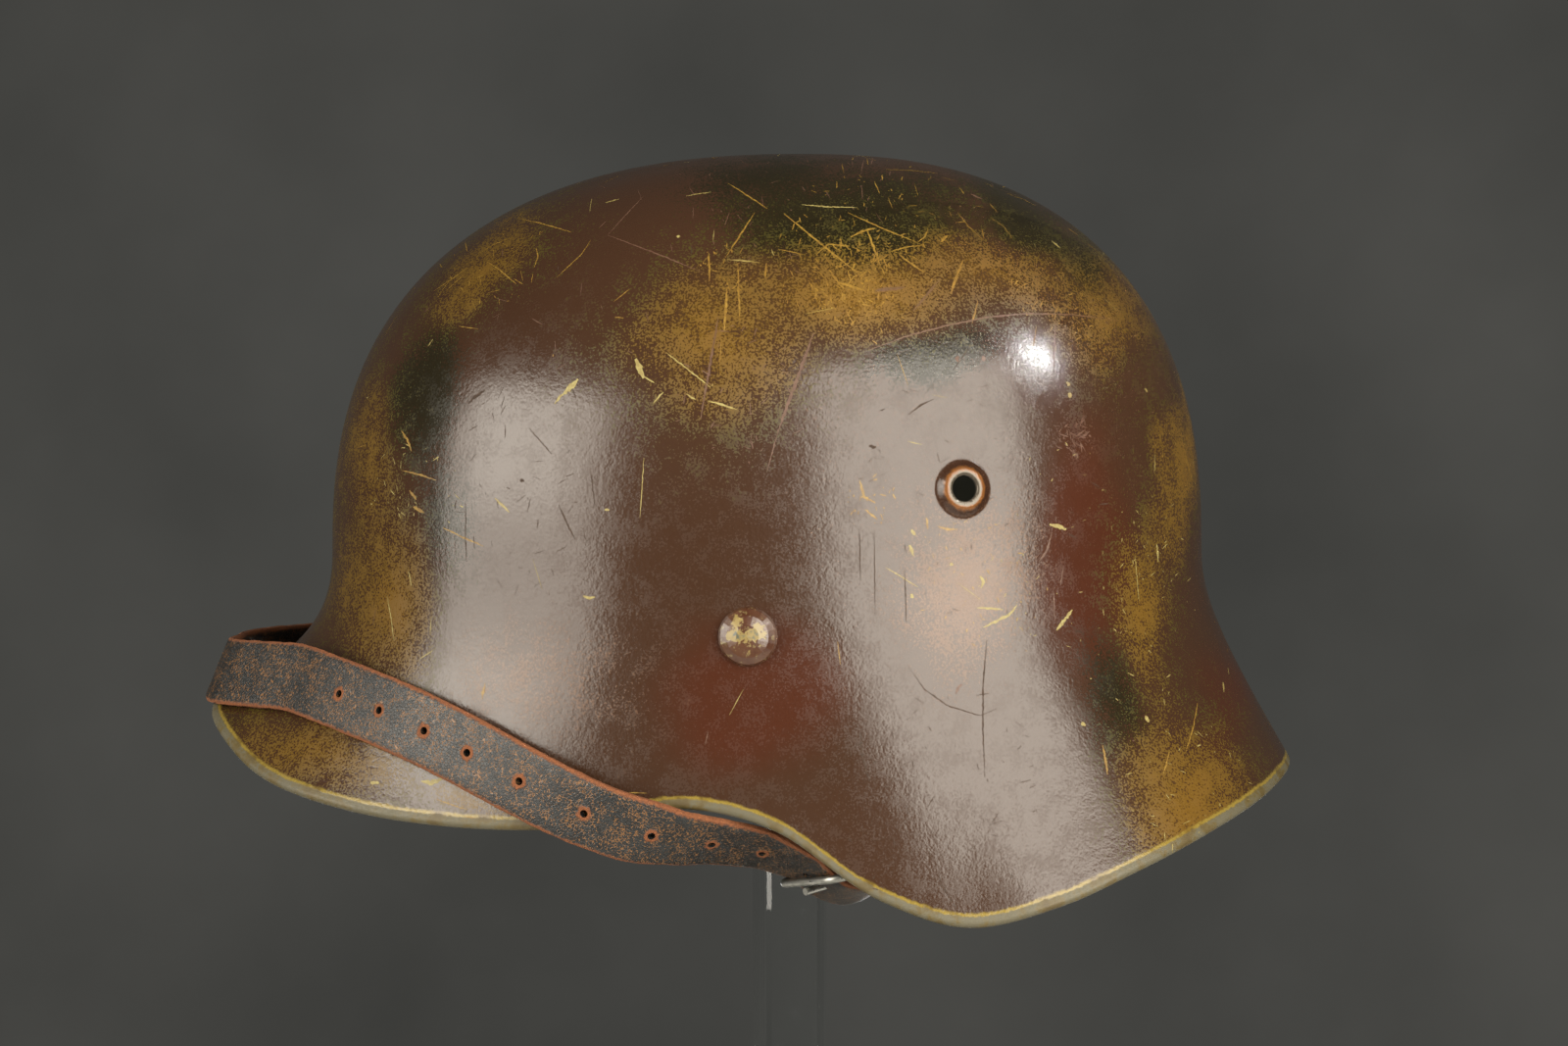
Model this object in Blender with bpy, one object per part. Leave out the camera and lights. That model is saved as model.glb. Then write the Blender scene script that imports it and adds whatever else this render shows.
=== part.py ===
"""Steel combat helmet with its leather chin strap drawn over the visor, on a clear display stand.

Metres, +Z up. The visor points to -Y and the wearer's left side to +X. The stand rests on z = 0.
"""

import math

import bmesh
import bpy
import numpy as np
from mathutils import Matrix, Vector
from mathutils.bvhtree import BVHTree

# Shell
DOME_LENGTH = 0.2262  # outside, front to back at the waist
DOME_WIDTH = 0.1920  # outside, side to side at the waist
DOME_HEIGHT = 0.1027  # waist up to the crown
APEX_SHIFT = 0.0095  # how far the crown lies behind the middle of the dome
PLAN_POWER = 2.15  # 2 is an ellipse in plan, more is squarer
DOME_POWER = 2.45  # the same for the profile from crown to waist
SKIRT_DROP = 0.0827  # waist down to the lowest point of the rim
VISOR_REACH = 0.0298  # how far the rim stands out from the waist in front
NECK_REACH = 0.0222  # the same behind
WALL = 0.0012
BEAD = 0.0027  # thickness of the edge, which is rolled inwards
BEAD_FOLD = 0.0045  # how far the rolled edge runs back up the inside
RIM_HEIGHT = 0.1150  # lowest point of the rim above the table

# Vent bosses, one on each side
VENT_HOLE = 0.0063
VENT_LIP = 0.0092
VENT_BASE = 0.0130
VENT_HEIGHT = 0.0019
VENT_ANGLE = 118.0  # degrees round from the front
VENT_RISE = 0.176  # share of DOME_HEIGHT above the waist

# Split pins that hold the liner band
PIN_HEAD = 0.0142
PIN_HEAD_HEIGHT = 0.0034
PIN_SHANK = 0.0042
PIN_LEG = 0.0110
PIN_LEG_THICKNESS = 0.0012
PIN_ANGLES = {"left": 87.4, "right": -87.4}
PIN_DROP = 0.203  # share of SKIRT_DROP below the waist

# Liner band and the bails that the chin strap hangs from
BAND_HEIGHT = 0.0160
BAND_THICKNESS = 0.0010
BAND_GAP = 0.0034  # between the band and the inside of the shell
BAIL_LENGTH = 0.0120
BAIL_WIRE = 0.0022
BAIL_CORNER = 0.0022
BAIL_LEAN = 5.0  # degrees round the helmet from a bail back to its root on the band
BAIL_SET_BACK = {"left": 11.0, "right": 0.0}  # degrees behind the end of the right strap
SLEEVE_WALL = 0.0010
SLEEVE_LENGTH = 0.0095

# Chin strap
STRAP_WIDTH = 0.0172
SHORT_STRAP_WIDTH = 0.0136
SHORT_STRAP_LEAD = 0.0032  # how far the short strap runs straight off each bar
STRAP_THICKNESS = 0.0022
STRAP_HOLE = 0.0019
WRAP_LEAN = 30.0  # degrees; beyond it the strap turns in under the rim
STRAP_END_DEPTH = 0.0120  # how far each looped end runs back on itself

# Buckle
BUCKLE_WIRE = 0.0020
BUCKLE_LENGTH = 0.0135
BUCKLE_SIDE_ROOM = 0.0015
BUCKLE_CORNER = 0.0038
BUCKLE_SLACK = 0.0012  # room between the two straps at the inner bar
BUCKLE_BACK = 0.0280  # outer bar to the tip of the strap
PRONG_WIRE = 0.0018
PRONG_ROOM = 0.0007

# Stand
BASE_SIZE = 0.1500
BASE_THICKNESS = 0.0100
POST_SIZE = 0.0162
POST_SHIFT = 0.0056  # behind the middle of the dome
TOP_DIAMETER = 0.0760
TOP_THICKNESS = 0.0060
STAND_TURN = 15.6  # degrees about the post
EDGE_ROUND = 0.0010

# Clearances
SEAT = 0.0003
PIN_ROOM = 0.0003

# Mesh fineness
SHELL_COLUMNS = 64
OUTER_DOME_ROWS = 13
OUTER_SKIRT_ROWS = 10
INNER_DOME_ROWS = 8
INNER_SKIRT_ROWS = 6
BEAD_STEPS = 5
ROUND_SIDES = 24
WIRE_SIDES = 6
STRAP_STEPS = 3
SHORT_STRAP_ROWS = 8

# Sections of the shell below the waist, for each angle in degrees round from the front.
# crease_out and rim_out are shares of the reach, crease_drop and rim_drop shares of SKIRT_DROP.
# sharpness is 1 for a sharp crease between dome and skirt and 0 for none.
SKIRT_COLUMNS = ("angle", "crease_out", "crease_drop", "rim_out", "rim_drop", "sharpness")
SKIRT = (
    (0, 0.09, 0.265, 0.97, 0.452, 0.80),
    (13, 0.09, 0.275, 1.02, 0.503, 0.80),
    (24, 0.08, 0.305, 0.88, 0.630, 0.80),
    (36, 0.07, 0.365, 0.64, 0.706, 0.75),
    (50, 0.05, 0.425, 0.34, 0.746, 0.70),
    (65, 0.03, 0.425, 0.15, 0.738, 0.65),
    (79, 0.02, 0.425, 0.11, 0.681, 0.60),
    (92, 0.02, 0.405, 0.22, 0.747, 0.60),
    (104, 0.02, 0.385, 0.60, 0.926, 0.60),
    (113, 0.03, 0.365, 0.91, 0.995, 0.60),
    (122, 0.04, 0.345, 1.18, 0.936, 0.60),
    (131, 0.05, 0.315, 1.28, 0.845, 0.65),
    (145, 0.07, 0.275, 1.23, 0.733, 0.70),
    (162, 0.07, 0.225, 1.07, 0.655, 0.75),
    (180, 0.08, 0.200, 1.00, 0.635, 0.75),
)

# Way of the chin strap's middle line, for each angle in degrees round from the front.
# stand_off is a share of STRAP_WIDTH. While the strap leans less than WRAP_LEAN it is the room
# between its inner face and the shell, and after that how far its middle lies out from the rim.
# drop is a share of SKIRT_DROP, and lean is how far the upper edge tips outwards, in degrees.
# The columns are angle, stand_off, drop and lean.
STRAP_SHARED = (
    (0, 0.05, 0.368, -22),
    (5, 0.06, 0.368, -22),
    (10, 0.06, 0.367, -22),
    (16, 0.05, 0.364, -22),
    (22, 0.06, 0.364, -20),
    (28, 0.06, 0.386, -18),
    (40.5, 0.05, 0.457, -12),
    (49, 0.04, 0.529, -6),
    (57.5, 0.04, 0.616, 0),
    (65, 0.05, 0.692, 8),
    (71, -0.07, 0.743, 20),
    (77, -0.14, 0.783, 40),
    (83, -0.45, 0.801, 50),
    (89.5, -0.79, 0.830, 54),
)
STRAP_LEFT = (
    (95.5, -1.16, 0.880, 60),
    (101.5, -1.74, 0.952, 70),
    (108, -2.40, 0.978, 72),
    (115, -3.00, 0.955, 67),
)
STRAP_RIGHT = (
    (96, -1.20, 0.858, 50),
    (103, -1.55, 0.843, 38),
    (109.5, -1.85, 0.787, 22),
    (115.5, -2.00, 0.711, 8),
)

# Punched holes, as shares of the way from the middle of the visor to the strap's tip
STRAP_HOLES = (0.319, 0.381, 0.443, 0.498, 0.562, 0.636, 0.705, 0.769, 0.825)


def clear_scene():
    for obj in list(bpy.data.objects):
        bpy.data.objects.remove(obj)


def make_material(name, colour, roughness, metallic, alpha=1.0):
    material = bpy.data.materials.new(name)
    material.use_nodes = True
    shader = material.node_tree.nodes["Principled BSDF"]
    shader.inputs["Base Color"].default_value = (*colour, 1.0)
    shader.inputs["Roughness"].default_value = roughness
    shader.inputs["Metallic"].default_value = metallic
    shader.inputs["Alpha"].default_value = alpha
    return material


def mesh_object(name, points, faces, material, helper=False):
    """One object from plain points and faces, its faces turned outwards."""
    mesh = bpy.data.meshes.new(name)
    mesh.from_pydata([tuple(point) for point in points], [], faces)
    shape = bmesh.new()
    shape.from_mesh(mesh)
    bmesh.ops.recalc_face_normals(shape, faces=shape.faces)
    shape.to_mesh(mesh)
    shape.free()
    mesh.shade_smooth()
    mesh.set_sharp_from_angle(angle=math.radians(40))
    obj = bpy.data.objects.new(name, mesh)
    bpy.context.collection.objects.link(obj)
    if material:
        mesh.materials.append(material)
    if helper:
        obj.hide_render = True
        obj.display_type = "WIRE"
    return obj


def boolean(obj, other, operation):
    modifier = obj.modifiers.new(other.name, "BOOLEAN")
    modifier.object = other
    modifier.operation = operation
    modifier.solver = "EXACT"


def unit(vector):
    return vector / np.linalg.norm(vector)


def hermite(before, start, end, after, places, share):
    """Smooth value between start and end, for four neighbours at uneven places."""
    p0, p1, p2, p3 = places
    span = p2 - p1
    slope_start = (end - start) / span * (p1 - p0) + (start - before) / (p1 - p0) * span
    slope_start = slope_start / (p2 - p0) * span
    slope_end = (after - end) / (p3 - p2) * span + (end - start) / span * (p3 - p2)
    slope_end = slope_end / (p3 - p1) * span
    square = share * share
    cube = square * share
    return (
        (2 * cube - 3 * square + 1) * start
        + (cube - 2 * square + share) * slope_start
        + (3 * square - 2 * cube) * end
        + (cube - square) * slope_end
    )


def skirt_row(angle):
    """The shell's section values at any angle, mirrored left to right."""
    angle = abs((angle + 180) % 360 - 180)
    rows = np.array(SKIRT, float)
    before = rows[1:3][::-1] * [-1, 1, 1, 1, 1, 1]
    after = rows[-3:-1][::-1]
    after = after * [-1, 1, 1, 1, 1, 1] + [360, 0, 0, 0, 0, 0]
    rows = np.concatenate([before, rows, after])
    index = int(np.searchsorted(rows[:, 0], angle, "right")) - 1
    four = rows[index - 1 : index + 3]
    share = (angle - four[1, 0]) / (four[2, 0] - four[1, 0])
    values = hermite(four[0], four[1], four[2], four[3], four[:, 0], share)
    return dict(zip(SKIRT_COLUMNS[1:], values[1:]))


def waist_radius(angle):
    turn = math.radians(angle)
    along = abs(math.cos(turn)) / (DOME_LENGTH / 2)
    aside = abs(math.sin(turn)) / (DOME_WIDTH / 2)
    return (along**PLAN_POWER + aside**PLAN_POWER) ** (-1 / PLAN_POWER)


def reach(angle):
    """How far a share of one stands out from the waist, changing from front to back."""
    front = (1 + math.cos(math.radians(angle))) / 2
    return VISOR_REACH * front + NECK_REACH * (1 - front)


def heading(angle):
    turn = math.radians(angle)
    return np.array([math.sin(turn), -math.cos(turn), 0.0])


def waist_height():
    return RIM_HEIGHT + SKIRT_DROP


def dome_point(angle, share):
    """A point of the outside from the crown, share 0, to the waist, share 1."""
    turn = share * math.pi / 2
    outward = math.sin(turn) ** (2 / DOME_POWER)
    upward = math.cos(turn) ** (2 / DOME_POWER)
    apex = np.array([0.0, APEX_SHIFT, 0.0])
    waist = heading(angle) * waist_radius(angle)
    flat = apex + (waist - apex) * outward
    return flat + np.array([0.0, 0.0, waist_height() + DOME_HEIGHT * upward])


def skirt_point(angle, share):
    """A point of the outside from the waist, share 0, to the rim, share 1."""
    row = skirt_row(angle)
    radius = waist_radius(angle)
    waist = np.array([radius, 0.0])
    crease = waist + [row["crease_out"] * reach(angle), -row["crease_drop"] * SKIRT_DROP]
    rim = waist + [row["rim_out"] * reach(angle), -row["rim_drop"] * SKIRT_DROP]
    first = waist + (crease - waist) * row["sharpness"]
    first[0] = radius
    second = rim + (crease - rim) * row["sharpness"]
    rest = 1 - share
    out, down = (
        rest**3 * waist
        + 3 * rest**2 * share * first
        + 3 * rest * share**2 * second
        + share**3 * rim
    )
    return heading(angle) * out + np.array([0.0, 0.0, waist_height() + down])


def shell_point(angle, place):
    """A point of the outside: place runs 0 to 1 down the dome and 1 to 2 down the skirt."""
    return dome_point(angle, place) if place < 1 else skirt_point(angle, place - 1)


def shell_normal(angle, place):
    """Unit vector out of the shell, from two small steps across its surface."""
    step = 1e-3
    low, high = max(place - step, step), min(place + step, 2.0)
    down = shell_point(angle, high) - shell_point(angle, low)
    round_way = shell_point(angle + 0.1, place) - shell_point(angle - 0.1, place)
    if place < step:
        return np.array([0.0, 0.0, 1.0])
    return unit(np.cross(down, round_way))


def place_at_drop(angle, drop):
    """The place on the skirt, 1 to 2, that lies drop below the waist, or the rim."""
    low, high = 0.0, 1.0
    for _ in range(30):
        middle = (low + high) / 2
        if waist_height() - skirt_point(angle, middle)[2] < drop:
            low = middle
        else:
            high = middle
    return 1 + low


def shell_column(angle):
    """One meridian of the shell from below the crown, round the rim and back up inside."""
    outer = [shell_point(angle, row / OUTER_DOME_ROWS) for row in range(1, OUTER_DOME_ROWS)]
    outer += [skirt_point(angle, row / OUTER_SKIRT_ROWS) for row in range(OUTER_SKIRT_ROWS + 1)]
    rim = outer[-1]
    normal = shell_normal(angle, 2.0)
    down = unit(skirt_point(angle, 1.0) - skirt_point(angle, 0.98))
    bead = []
    for step in range(1, BEAD_STEPS + 1):
        turn = math.pi * step / BEAD_STEPS
        inward = (1 - math.cos(turn)) * BEAD / 2
        bead.append(rim + down * math.sin(turn) * BEAD / 2 - normal * inward)
    fold = fold_place(angle)
    inner = [shell_point(angle, fold) - shell_normal(angle, fold) * BEAD]
    step_up = fold - 0.03
    for row in range(INNER_SKIRT_ROWS):
        place = step_up - row * (step_up - 1) / INNER_SKIRT_ROWS
        inner.append(shell_point(angle, place) - shell_normal(angle, place) * WALL)
    for row in range(INNER_DOME_ROWS, 0, -1):
        place = row / INNER_DOME_ROWS
        inner.append(shell_point(angle, place) - shell_normal(angle, place) * WALL)
    return outer + bead + inner


def fold_place(angle):
    """The place on the skirt where the rolled edge ends."""
    rim = skirt_point(angle, 1.0)
    low, high = 0.0, 1.0
    for _ in range(30):
        middle = (low + high) / 2
        if np.linalg.norm(rim - skirt_point(angle, middle)) > BEAD_FOLD:
            low = middle
        else:
            high = middle
    return 1 + low


def crown_point(depth):
    return np.array([0.0, APEX_SHIFT, waist_height() + DOME_HEIGHT - depth])


def shell_mesh(material):
    columns = [shell_column(360 * step / SHELL_COLUMNS) for step in range(SHELL_COLUMNS)]
    rows = len(columns[0])
    points = [point for column in columns for point in column]
    top, under = len(points), len(points) + 1
    points += [crown_point(0.0), crown_point(WALL)]
    faces = []
    for index in range(SHELL_COLUMNS):
        here, there = index * rows, (index + 1) % SHELL_COLUMNS * rows
        faces.append((top, here, there))
        faces.append((under, there + rows - 1, here + rows - 1))
        for row in range(rows - 1):
            faces.append((here + row, here + row + 1, there + row + 1, there + row))
    return mesh_object("shell", points, faces, material)


def axes_from(direction):
    """Rotation whose Z is the direction given, as a 4 by 4 matrix."""
    return Vector(direction).to_track_quat("Z", "Y").to_matrix().to_4x4()


def turned(name, profile, origin, direction, material, helper=False):
    """A solid turned about a direction. The profile is (radius, height) from axis to axis."""
    points = []
    for radius, height in profile[1:-1]:
        for side in range(ROUND_SIDES):
            turn = 2 * math.pi * side / ROUND_SIDES
            points.append((radius * math.cos(turn), radius * math.sin(turn), height))
    rings = len(profile) - 2
    ends = len(points)
    points += [(0.0, 0.0, profile[0][1]), (0.0, 0.0, profile[-1][1])]
    faces = []
    for side in range(ROUND_SIDES):
        after = (side + 1) % ROUND_SIDES
        faces.append((ends, side, after))
        last = (rings - 1) * ROUND_SIDES
        faces.append((ends + 1, last + after, last + side))
        for ring in range(rings - 1):
            here = ring * ROUND_SIDES
            below = here + ROUND_SIDES
            faces.append((here + side, below + side, below + after, here + after))
    matrix = Matrix.Translation(origin) @ axes_from(direction)
    points = [matrix @ Vector(point) for point in points]
    return mesh_object(name, points, faces, material, helper)


def rod(name, centre, direction, radius, length, material=None, helper=True):
    profile = [(0, -length / 2), (radius, -length / 2), (radius, length / 2), (0, length / 2)]
    return turned(name, profile, centre, direction, material, helper)


def vent_seat(side):
    angle = VENT_ANGLE * side
    outward = (1 - VENT_RISE**DOME_POWER) ** (1 / DOME_POWER)
    place = math.asin(outward ** (DOME_POWER / 2)) * 2 / math.pi
    return shell_point(angle, place), shell_normal(angle, place)


def add_vent(shell, side):
    """A raised boss on the shell with a round hole through it."""
    centre, normal = vent_seat(side)
    middle = (VENT_LIP + VENT_BASE) / 4
    profile = [
        (0, -WALL * 0.7),
        (VENT_BASE / 2, -WALL * 0.7),
        (VENT_BASE / 2, 0.00005),
        (middle, VENT_HEIGHT * 0.35),
        (VENT_LIP / 2, VENT_HEIGHT * 0.85),
        (VENT_LIP / 2 - VENT_HEIGHT * 0.2, VENT_HEIGHT),
        (0, VENT_HEIGHT),
    ]
    boss = turned(f"vent_boss_{side}", profile, centre, normal, None, helper=True)
    hole = rod(f"vent_hole_{side}", centre, normal, VENT_HOLE / 2, 8 * VENT_HEIGHT)
    boolean(shell, boss, "UNION")
    boolean(shell, hole, "DIFFERENCE")


def pin_seat(which):
    angle = PIN_ANGLES[which]
    place = place_at_drop(angle, PIN_DROP * SKIRT_DROP)
    return shell_point(angle, place), shell_normal(angle, place)


def shell(material):
    body = shell_mesh(material)
    for side in (1, -1):
        add_vent(body, side)
    for which in PIN_ANGLES:
        centre, normal = pin_seat(which)
        hole = rod(f"pin_hole_{which}", centre, normal, PIN_SHANK / 2 + PIN_ROOM, 8 * WALL)
        boolean(body, hole, "DIFFERENCE")
    return body


def band_radius(angle):
    """The liner band's outside, which follows the shell's waist."""
    return waist_radius(angle) - WALL - BAND_GAP


def band_point(angle):
    return heading(angle) * band_radius(angle)


def pin_reach(which):
    """From the shell's outside to the inside of the liner band, along the pin."""
    centre, normal = pin_seat(which)
    outside = np.hypot(centre[0], centre[1])
    return (outside - band_radius(PIN_ANGLES[which]) + BAND_THICKNESS) / np.hypot(*normal[:2])


def split_pin(which, material):
    """A domed head outside, a shank through shell and band, and two legs bent apart."""
    centre, normal = pin_seat(which)
    depth = pin_reach(which) + 3 * SEAT
    head = PIN_HEAD / 2
    underside = SEAT + head_lift(which)
    profile = [(0, underside + PIN_HEAD_HEIGHT)]
    for step in range(1, 5):
        turn = math.radians(90 * step / 4)
        rise = underside + PIN_HEAD_HEIGHT * math.cos(turn)
        profile.append((head * math.sin(turn), rise))
    profile += [
        (head * 0.97, underside - 0.0002),
        (PIN_SHANK / 2, underside - 0.0002),
        (PIN_SHANK / 2, -depth - PIN_LEG_THICKNESS),
        (0, -depth - PIN_LEG_THICKNESS),
    ]
    pin = turned(f"split_pin_{which}", profile, centre, normal, material)
    legs = bent_legs(which, centre - normal * (depth + PIN_LEG_THICKNESS / 2), normal)
    boolean(pin, legs, "UNION")
    return pin


def head_lift(which):
    """Room for the shell's bulge under the flat head of a pin."""
    centre, normal = pin_seat(which)
    angle = PIN_ANGLES[which]
    place = place_at_drop(angle, PIN_DROP * SKIRT_DROP)
    lift = 0.0
    for turn, shift in ((4, 0), (-4, 0), (0, 0.12), (0, -0.12)):
        near = shell_point(angle + turn, place + shift) - centre
        lift = max(lift, float(np.dot(near, normal)))
    return lift


def bent_legs(which, centre, normal):
    """One plate across the inside of the band, for the two legs bent up and down."""
    half = Vector((PIN_LEG_THICKNESS / 2, PIN_SHANK * 0.45, PIN_LEG))
    aside = Vector((-normal[1], normal[0], 0.0)).normalized()
    upward = Vector(normal).cross(aside)
    corners = []
    for x in (-1, 1):
        for y in (-1, 1):
            for z in (-1, 1):
                point = Vector(normal) * x * half[0] + aside * y * half[1] + upward * z * half[2] / 2
                corners.append(Vector(centre) + point)
    return hull_object(f"pin_legs_{which}", corners)


def hull_object(name, corners):
    shape = bmesh.new()
    for corner in corners:
        shape.verts.new(corner)
    result = bmesh.ops.convex_hull(shape, input=shape.verts)
    loose = [item for item in result["geom_interior"] if isinstance(item, bmesh.types.BMVert)]
    bmesh.ops.delete(shape, geom=loose, context="VERTS")
    bmesh.ops.recalc_face_normals(shape, faces=shape.faces)
    mesh = bpy.data.meshes.new(name)
    shape.to_mesh(mesh)
    shape.free()
    obj = bpy.data.objects.new(name, mesh)
    bpy.context.collection.objects.link(obj)
    obj.hide_render = True
    obj.display_type = "WIRE"
    return obj


def liner_band(material):
    """A plain hoop inside the shell, with a tab on each side that carries a bail."""
    middle = waist_height() - PIN_DROP * SKIRT_DROP
    section = ((0, -1), (-1, -1), (-1, 1), (0, 1))
    points = []
    for step in range(SHELL_COLUMNS):
        angle = 360 * step / SHELL_COLUMNS
        for inward, upward in section:
            radius = band_radius(angle) + inward * BAND_THICKNESS
            flat = heading(angle) * radius
            points.append(flat + [0, 0, middle + upward * BAND_HEIGHT / 2])
    faces = []
    for step in range(SHELL_COLUMNS):
        here, there = 4 * step, 4 * ((step + 1) % SHELL_COLUMNS)
        for side in range(4):
            after = (side + 1) % 4
            faces.append((here + side, here + after, there + after, there + side))
    band = mesh_object("liner_band", points, faces, material)
    for side, name in ((1, "left"), (-1, "right")):
        tab, sleeve, bore = bail_holder(side, name)
        boolean(band, tab, "UNION")
        boolean(band, sleeve, "UNION")
        boolean(band, bore, "DIFFERENCE")
    for which in PIN_ANGLES:
        centre, normal = pin_seat(which)
        radius = PIN_SHANK / 2 + PIN_ROOM
        hole = rod(f"band_hole_{which}", centre - normal * BAND_GAP, normal, radius, 6 * BAND_GAP)
        boolean(band, hole, "DIFFERENCE")
    return band


def bail_frame(side):
    """Middle of the bail's lower bar, the way up to its upper bar and the way along them."""
    turn = math.radians(BAIL_SET_BACK["left" if side > 0 else "right"])
    about = np.array(Matrix.Rotation(turn, 3, "Z"))
    mirror = np.array([side, 1, 1])
    place, forward, across, _ = strap_way(STRAP_RIGHT)[-1]
    return (about @ place) * mirror, (about @ forward) * mirror, (about @ across) * mirror


def bail_holder(side, name):
    place, upward, along = bail_frame(side)
    top = place + upward * BAIL_LENGTH
    outer = BAIL_WIRE / 2 + PIN_ROOM + SLEEVE_WALL
    sleeve = rod(f"bail_sleeve_{name}", top, along, outer, SLEEVE_LENGTH)
    bore = rod(f"bail_bore_{name}", top, along, BAIL_WIRE / 2 + PIN_ROOM, 3 * SLEEVE_LENGTH)
    angle = math.degrees(math.atan2(abs(top[0]), -top[1])) + BAIL_LEAN
    tangent = unit(band_point((angle + 1) * side) - band_point((angle - 1) * side))
    tangent = tangent * np.sign(np.dot(tangent, along))
    root = band_point(angle * side) - heading(angle * side) * BAND_THICKNESS
    root[2] = waist_height() - PIN_DROP * SKIRT_DROP - BAND_HEIGHT * 0.25
    foot = top + upward * outer * 0.6
    above = root + np.array([0.0, 0.0, BAND_HEIGHT * 0.5])
    rings = []
    halfway = ((foot + root) / 2, along + tangent)
    for place, cross in ((foot, along), halfway, (root, tangent), (above, tangent)):
        cross = unit(cross)
        out = heading(angle * side)
        out = unit(out - cross * np.dot(out, cross))
        rings.append(ribbon_ring(place, cross, out, SLEEVE_LENGTH * 0.9, BAND_THICKNESS))
    tab = ring_mesh(f"bail_tab_{name}", rings, None, closed=False, helper=True)
    return tab, sleeve, bore


def wire(name, centres, radius, material, closed, sides=WIRE_SIDES, helper=False):
    """A round wire along the centres, as a mesh of rings."""
    count = len(centres)
    rings = []
    previous = None
    for index, centre in enumerate(centres):
        ahead = centres[(index + 1) % count] if closed or index < count - 1 else centre
        behind = centres[index - 1] if closed or index > 0 else centre
        along = unit(ahead - behind)
        if previous is None:
            guess = np.array([0.31, 0.57, 0.76])
            previous = unit(np.cross(along, guess))
        first = unit(previous - along * np.dot(previous, along))
        second = np.cross(along, first)
        previous = first
        ring = []
        for side in range(sides):
            turn = 2 * math.pi * side / sides
            ring.append(centre + radius * (first * math.cos(turn) + second * math.sin(turn)))
        rings.append(ring)
    return ring_mesh(name, rings, material, closed, helper)


def ring_mesh(name, rings, material, closed, helper=False):
    """Faces between rings of equally many points, with flat ends unless closed."""
    sides = len(rings[0])
    points = [point for ring in rings for point in ring]
    shift = 0
    if closed:
        gaps = [
            sum(np.linalg.norm(rings[-1][(s + k) % sides] - rings[0][s]) for s in range(sides))
            for k in range(sides)
        ]
        shift = int(np.argmin(gaps))
    faces = []
    for index in range(len(rings) - 1 + int(closed)):
        last = index == len(rings) - 1
        here, there = index * sides, (index + 1) % len(rings) * sides
        for side in range(sides):
            after = (side + 1) % sides
            first = (side + shift) % sides if last else side
            second = (after + shift) % sides if last else after
            faces.append((here + first, here + second, there + after, there + side))
    if not closed:
        faces.append(tuple(range(sides))[::-1])
        faces.append(tuple(len(points) - sides + side for side in range(sides)))
    return mesh_object(name, points, faces, material, helper)


def wire_loop(name, middle, ways, size, corner, radius, material):
    """A closed wire frame with rounded corners, its ways and size given forward and across."""
    forward, across = ways
    long, wide = size[0] / 2 - corner, size[1] / 2 - corner
    centres = []
    for quarter, (fore, aside) in enumerate(((1, 1), (-1, 1), (-1, -1), (1, -1))):
        heart = middle + forward * fore * long + across * aside * wide
        for step in range(5):
            turn = math.radians(90 * quarter + 90 * step / 4)
            centres.append(heart + corner * (forward * math.cos(turn) + across * math.sin(turn)))
    return wire(name, centres, radius, material, closed=True)


def strap_bail(side, name, material):
    place, upward, along = bail_frame(side)
    middle = place + upward * BAIL_LENGTH / 2
    size = (BAIL_LENGTH, STRAP_WIDTH + 4 * SEAT + 2 * BAIL_CORNER)
    ways = (upward, along)
    return wire_loop(f"strap_bail_{name}", middle, ways, size, BAIL_CORNER, BAIL_WIRE / 2, material)


def strap_section(row, mirror=1):
    """Middle of the strap at one row of its table, and the way its upper edge leans."""
    angle, stand_off, drop, lean = row
    depth = drop * SKIRT_DROP
    turn = math.radians(lean)
    radius = shell_radius(angle, depth) + stand_off * STRAP_WIDTH
    if lean < WRAP_LEAN:
        widths = [share * STRAP_WIDTH for share in (-0.5, -0.25, 0.0, 0.25, 0.5)]
        radius = stand_off * STRAP_WIDTH + SEAT + STRAP_THICKNESS / 2 / math.cos(turn)
        radius += max(
            shell_radius(angle, depth - wide * math.cos(turn)) - wide * math.sin(turn)
            for wide in widths
        )
    point = heading(angle) * radius
    point[2] = waist_height() - depth
    tip = heading(angle) * math.sin(turn)
    tip[2] = math.cos(turn)
    return point * [mirror, 1, 1], tip * [mirror, 1, 1]


def shell_radius(angle, depth):
    """How far out the shell lies at a depth below the waist, or its rim where that is higher."""
    point = shell_point(angle, place_at_drop(angle, depth))
    return float(np.hypot(point[0], point[1]))


def smooth_way(points, per_span):
    """A smooth curve through the points, with its share of each span."""
    points = [np.asarray(point) for point in points]
    ends = [2 * points[0] - points[1]] + points + [2 * points[-1] - points[-2]]
    gaps = [np.linalg.norm(b[:3] - a[:3]) ** 0.5 for a, b in zip(ends, ends[1:])]
    knots = np.concatenate([[0], np.cumsum(gaps)])
    way = []
    for index in range(1, len(ends) - 2):
        for step in range(per_span):
            share = step / per_span
            four = ends[index - 1 : index + 3]
            way.append(hermite(*four, knots[index - 1 : index + 3], share))
    way.append(points[-1])
    return way


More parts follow.
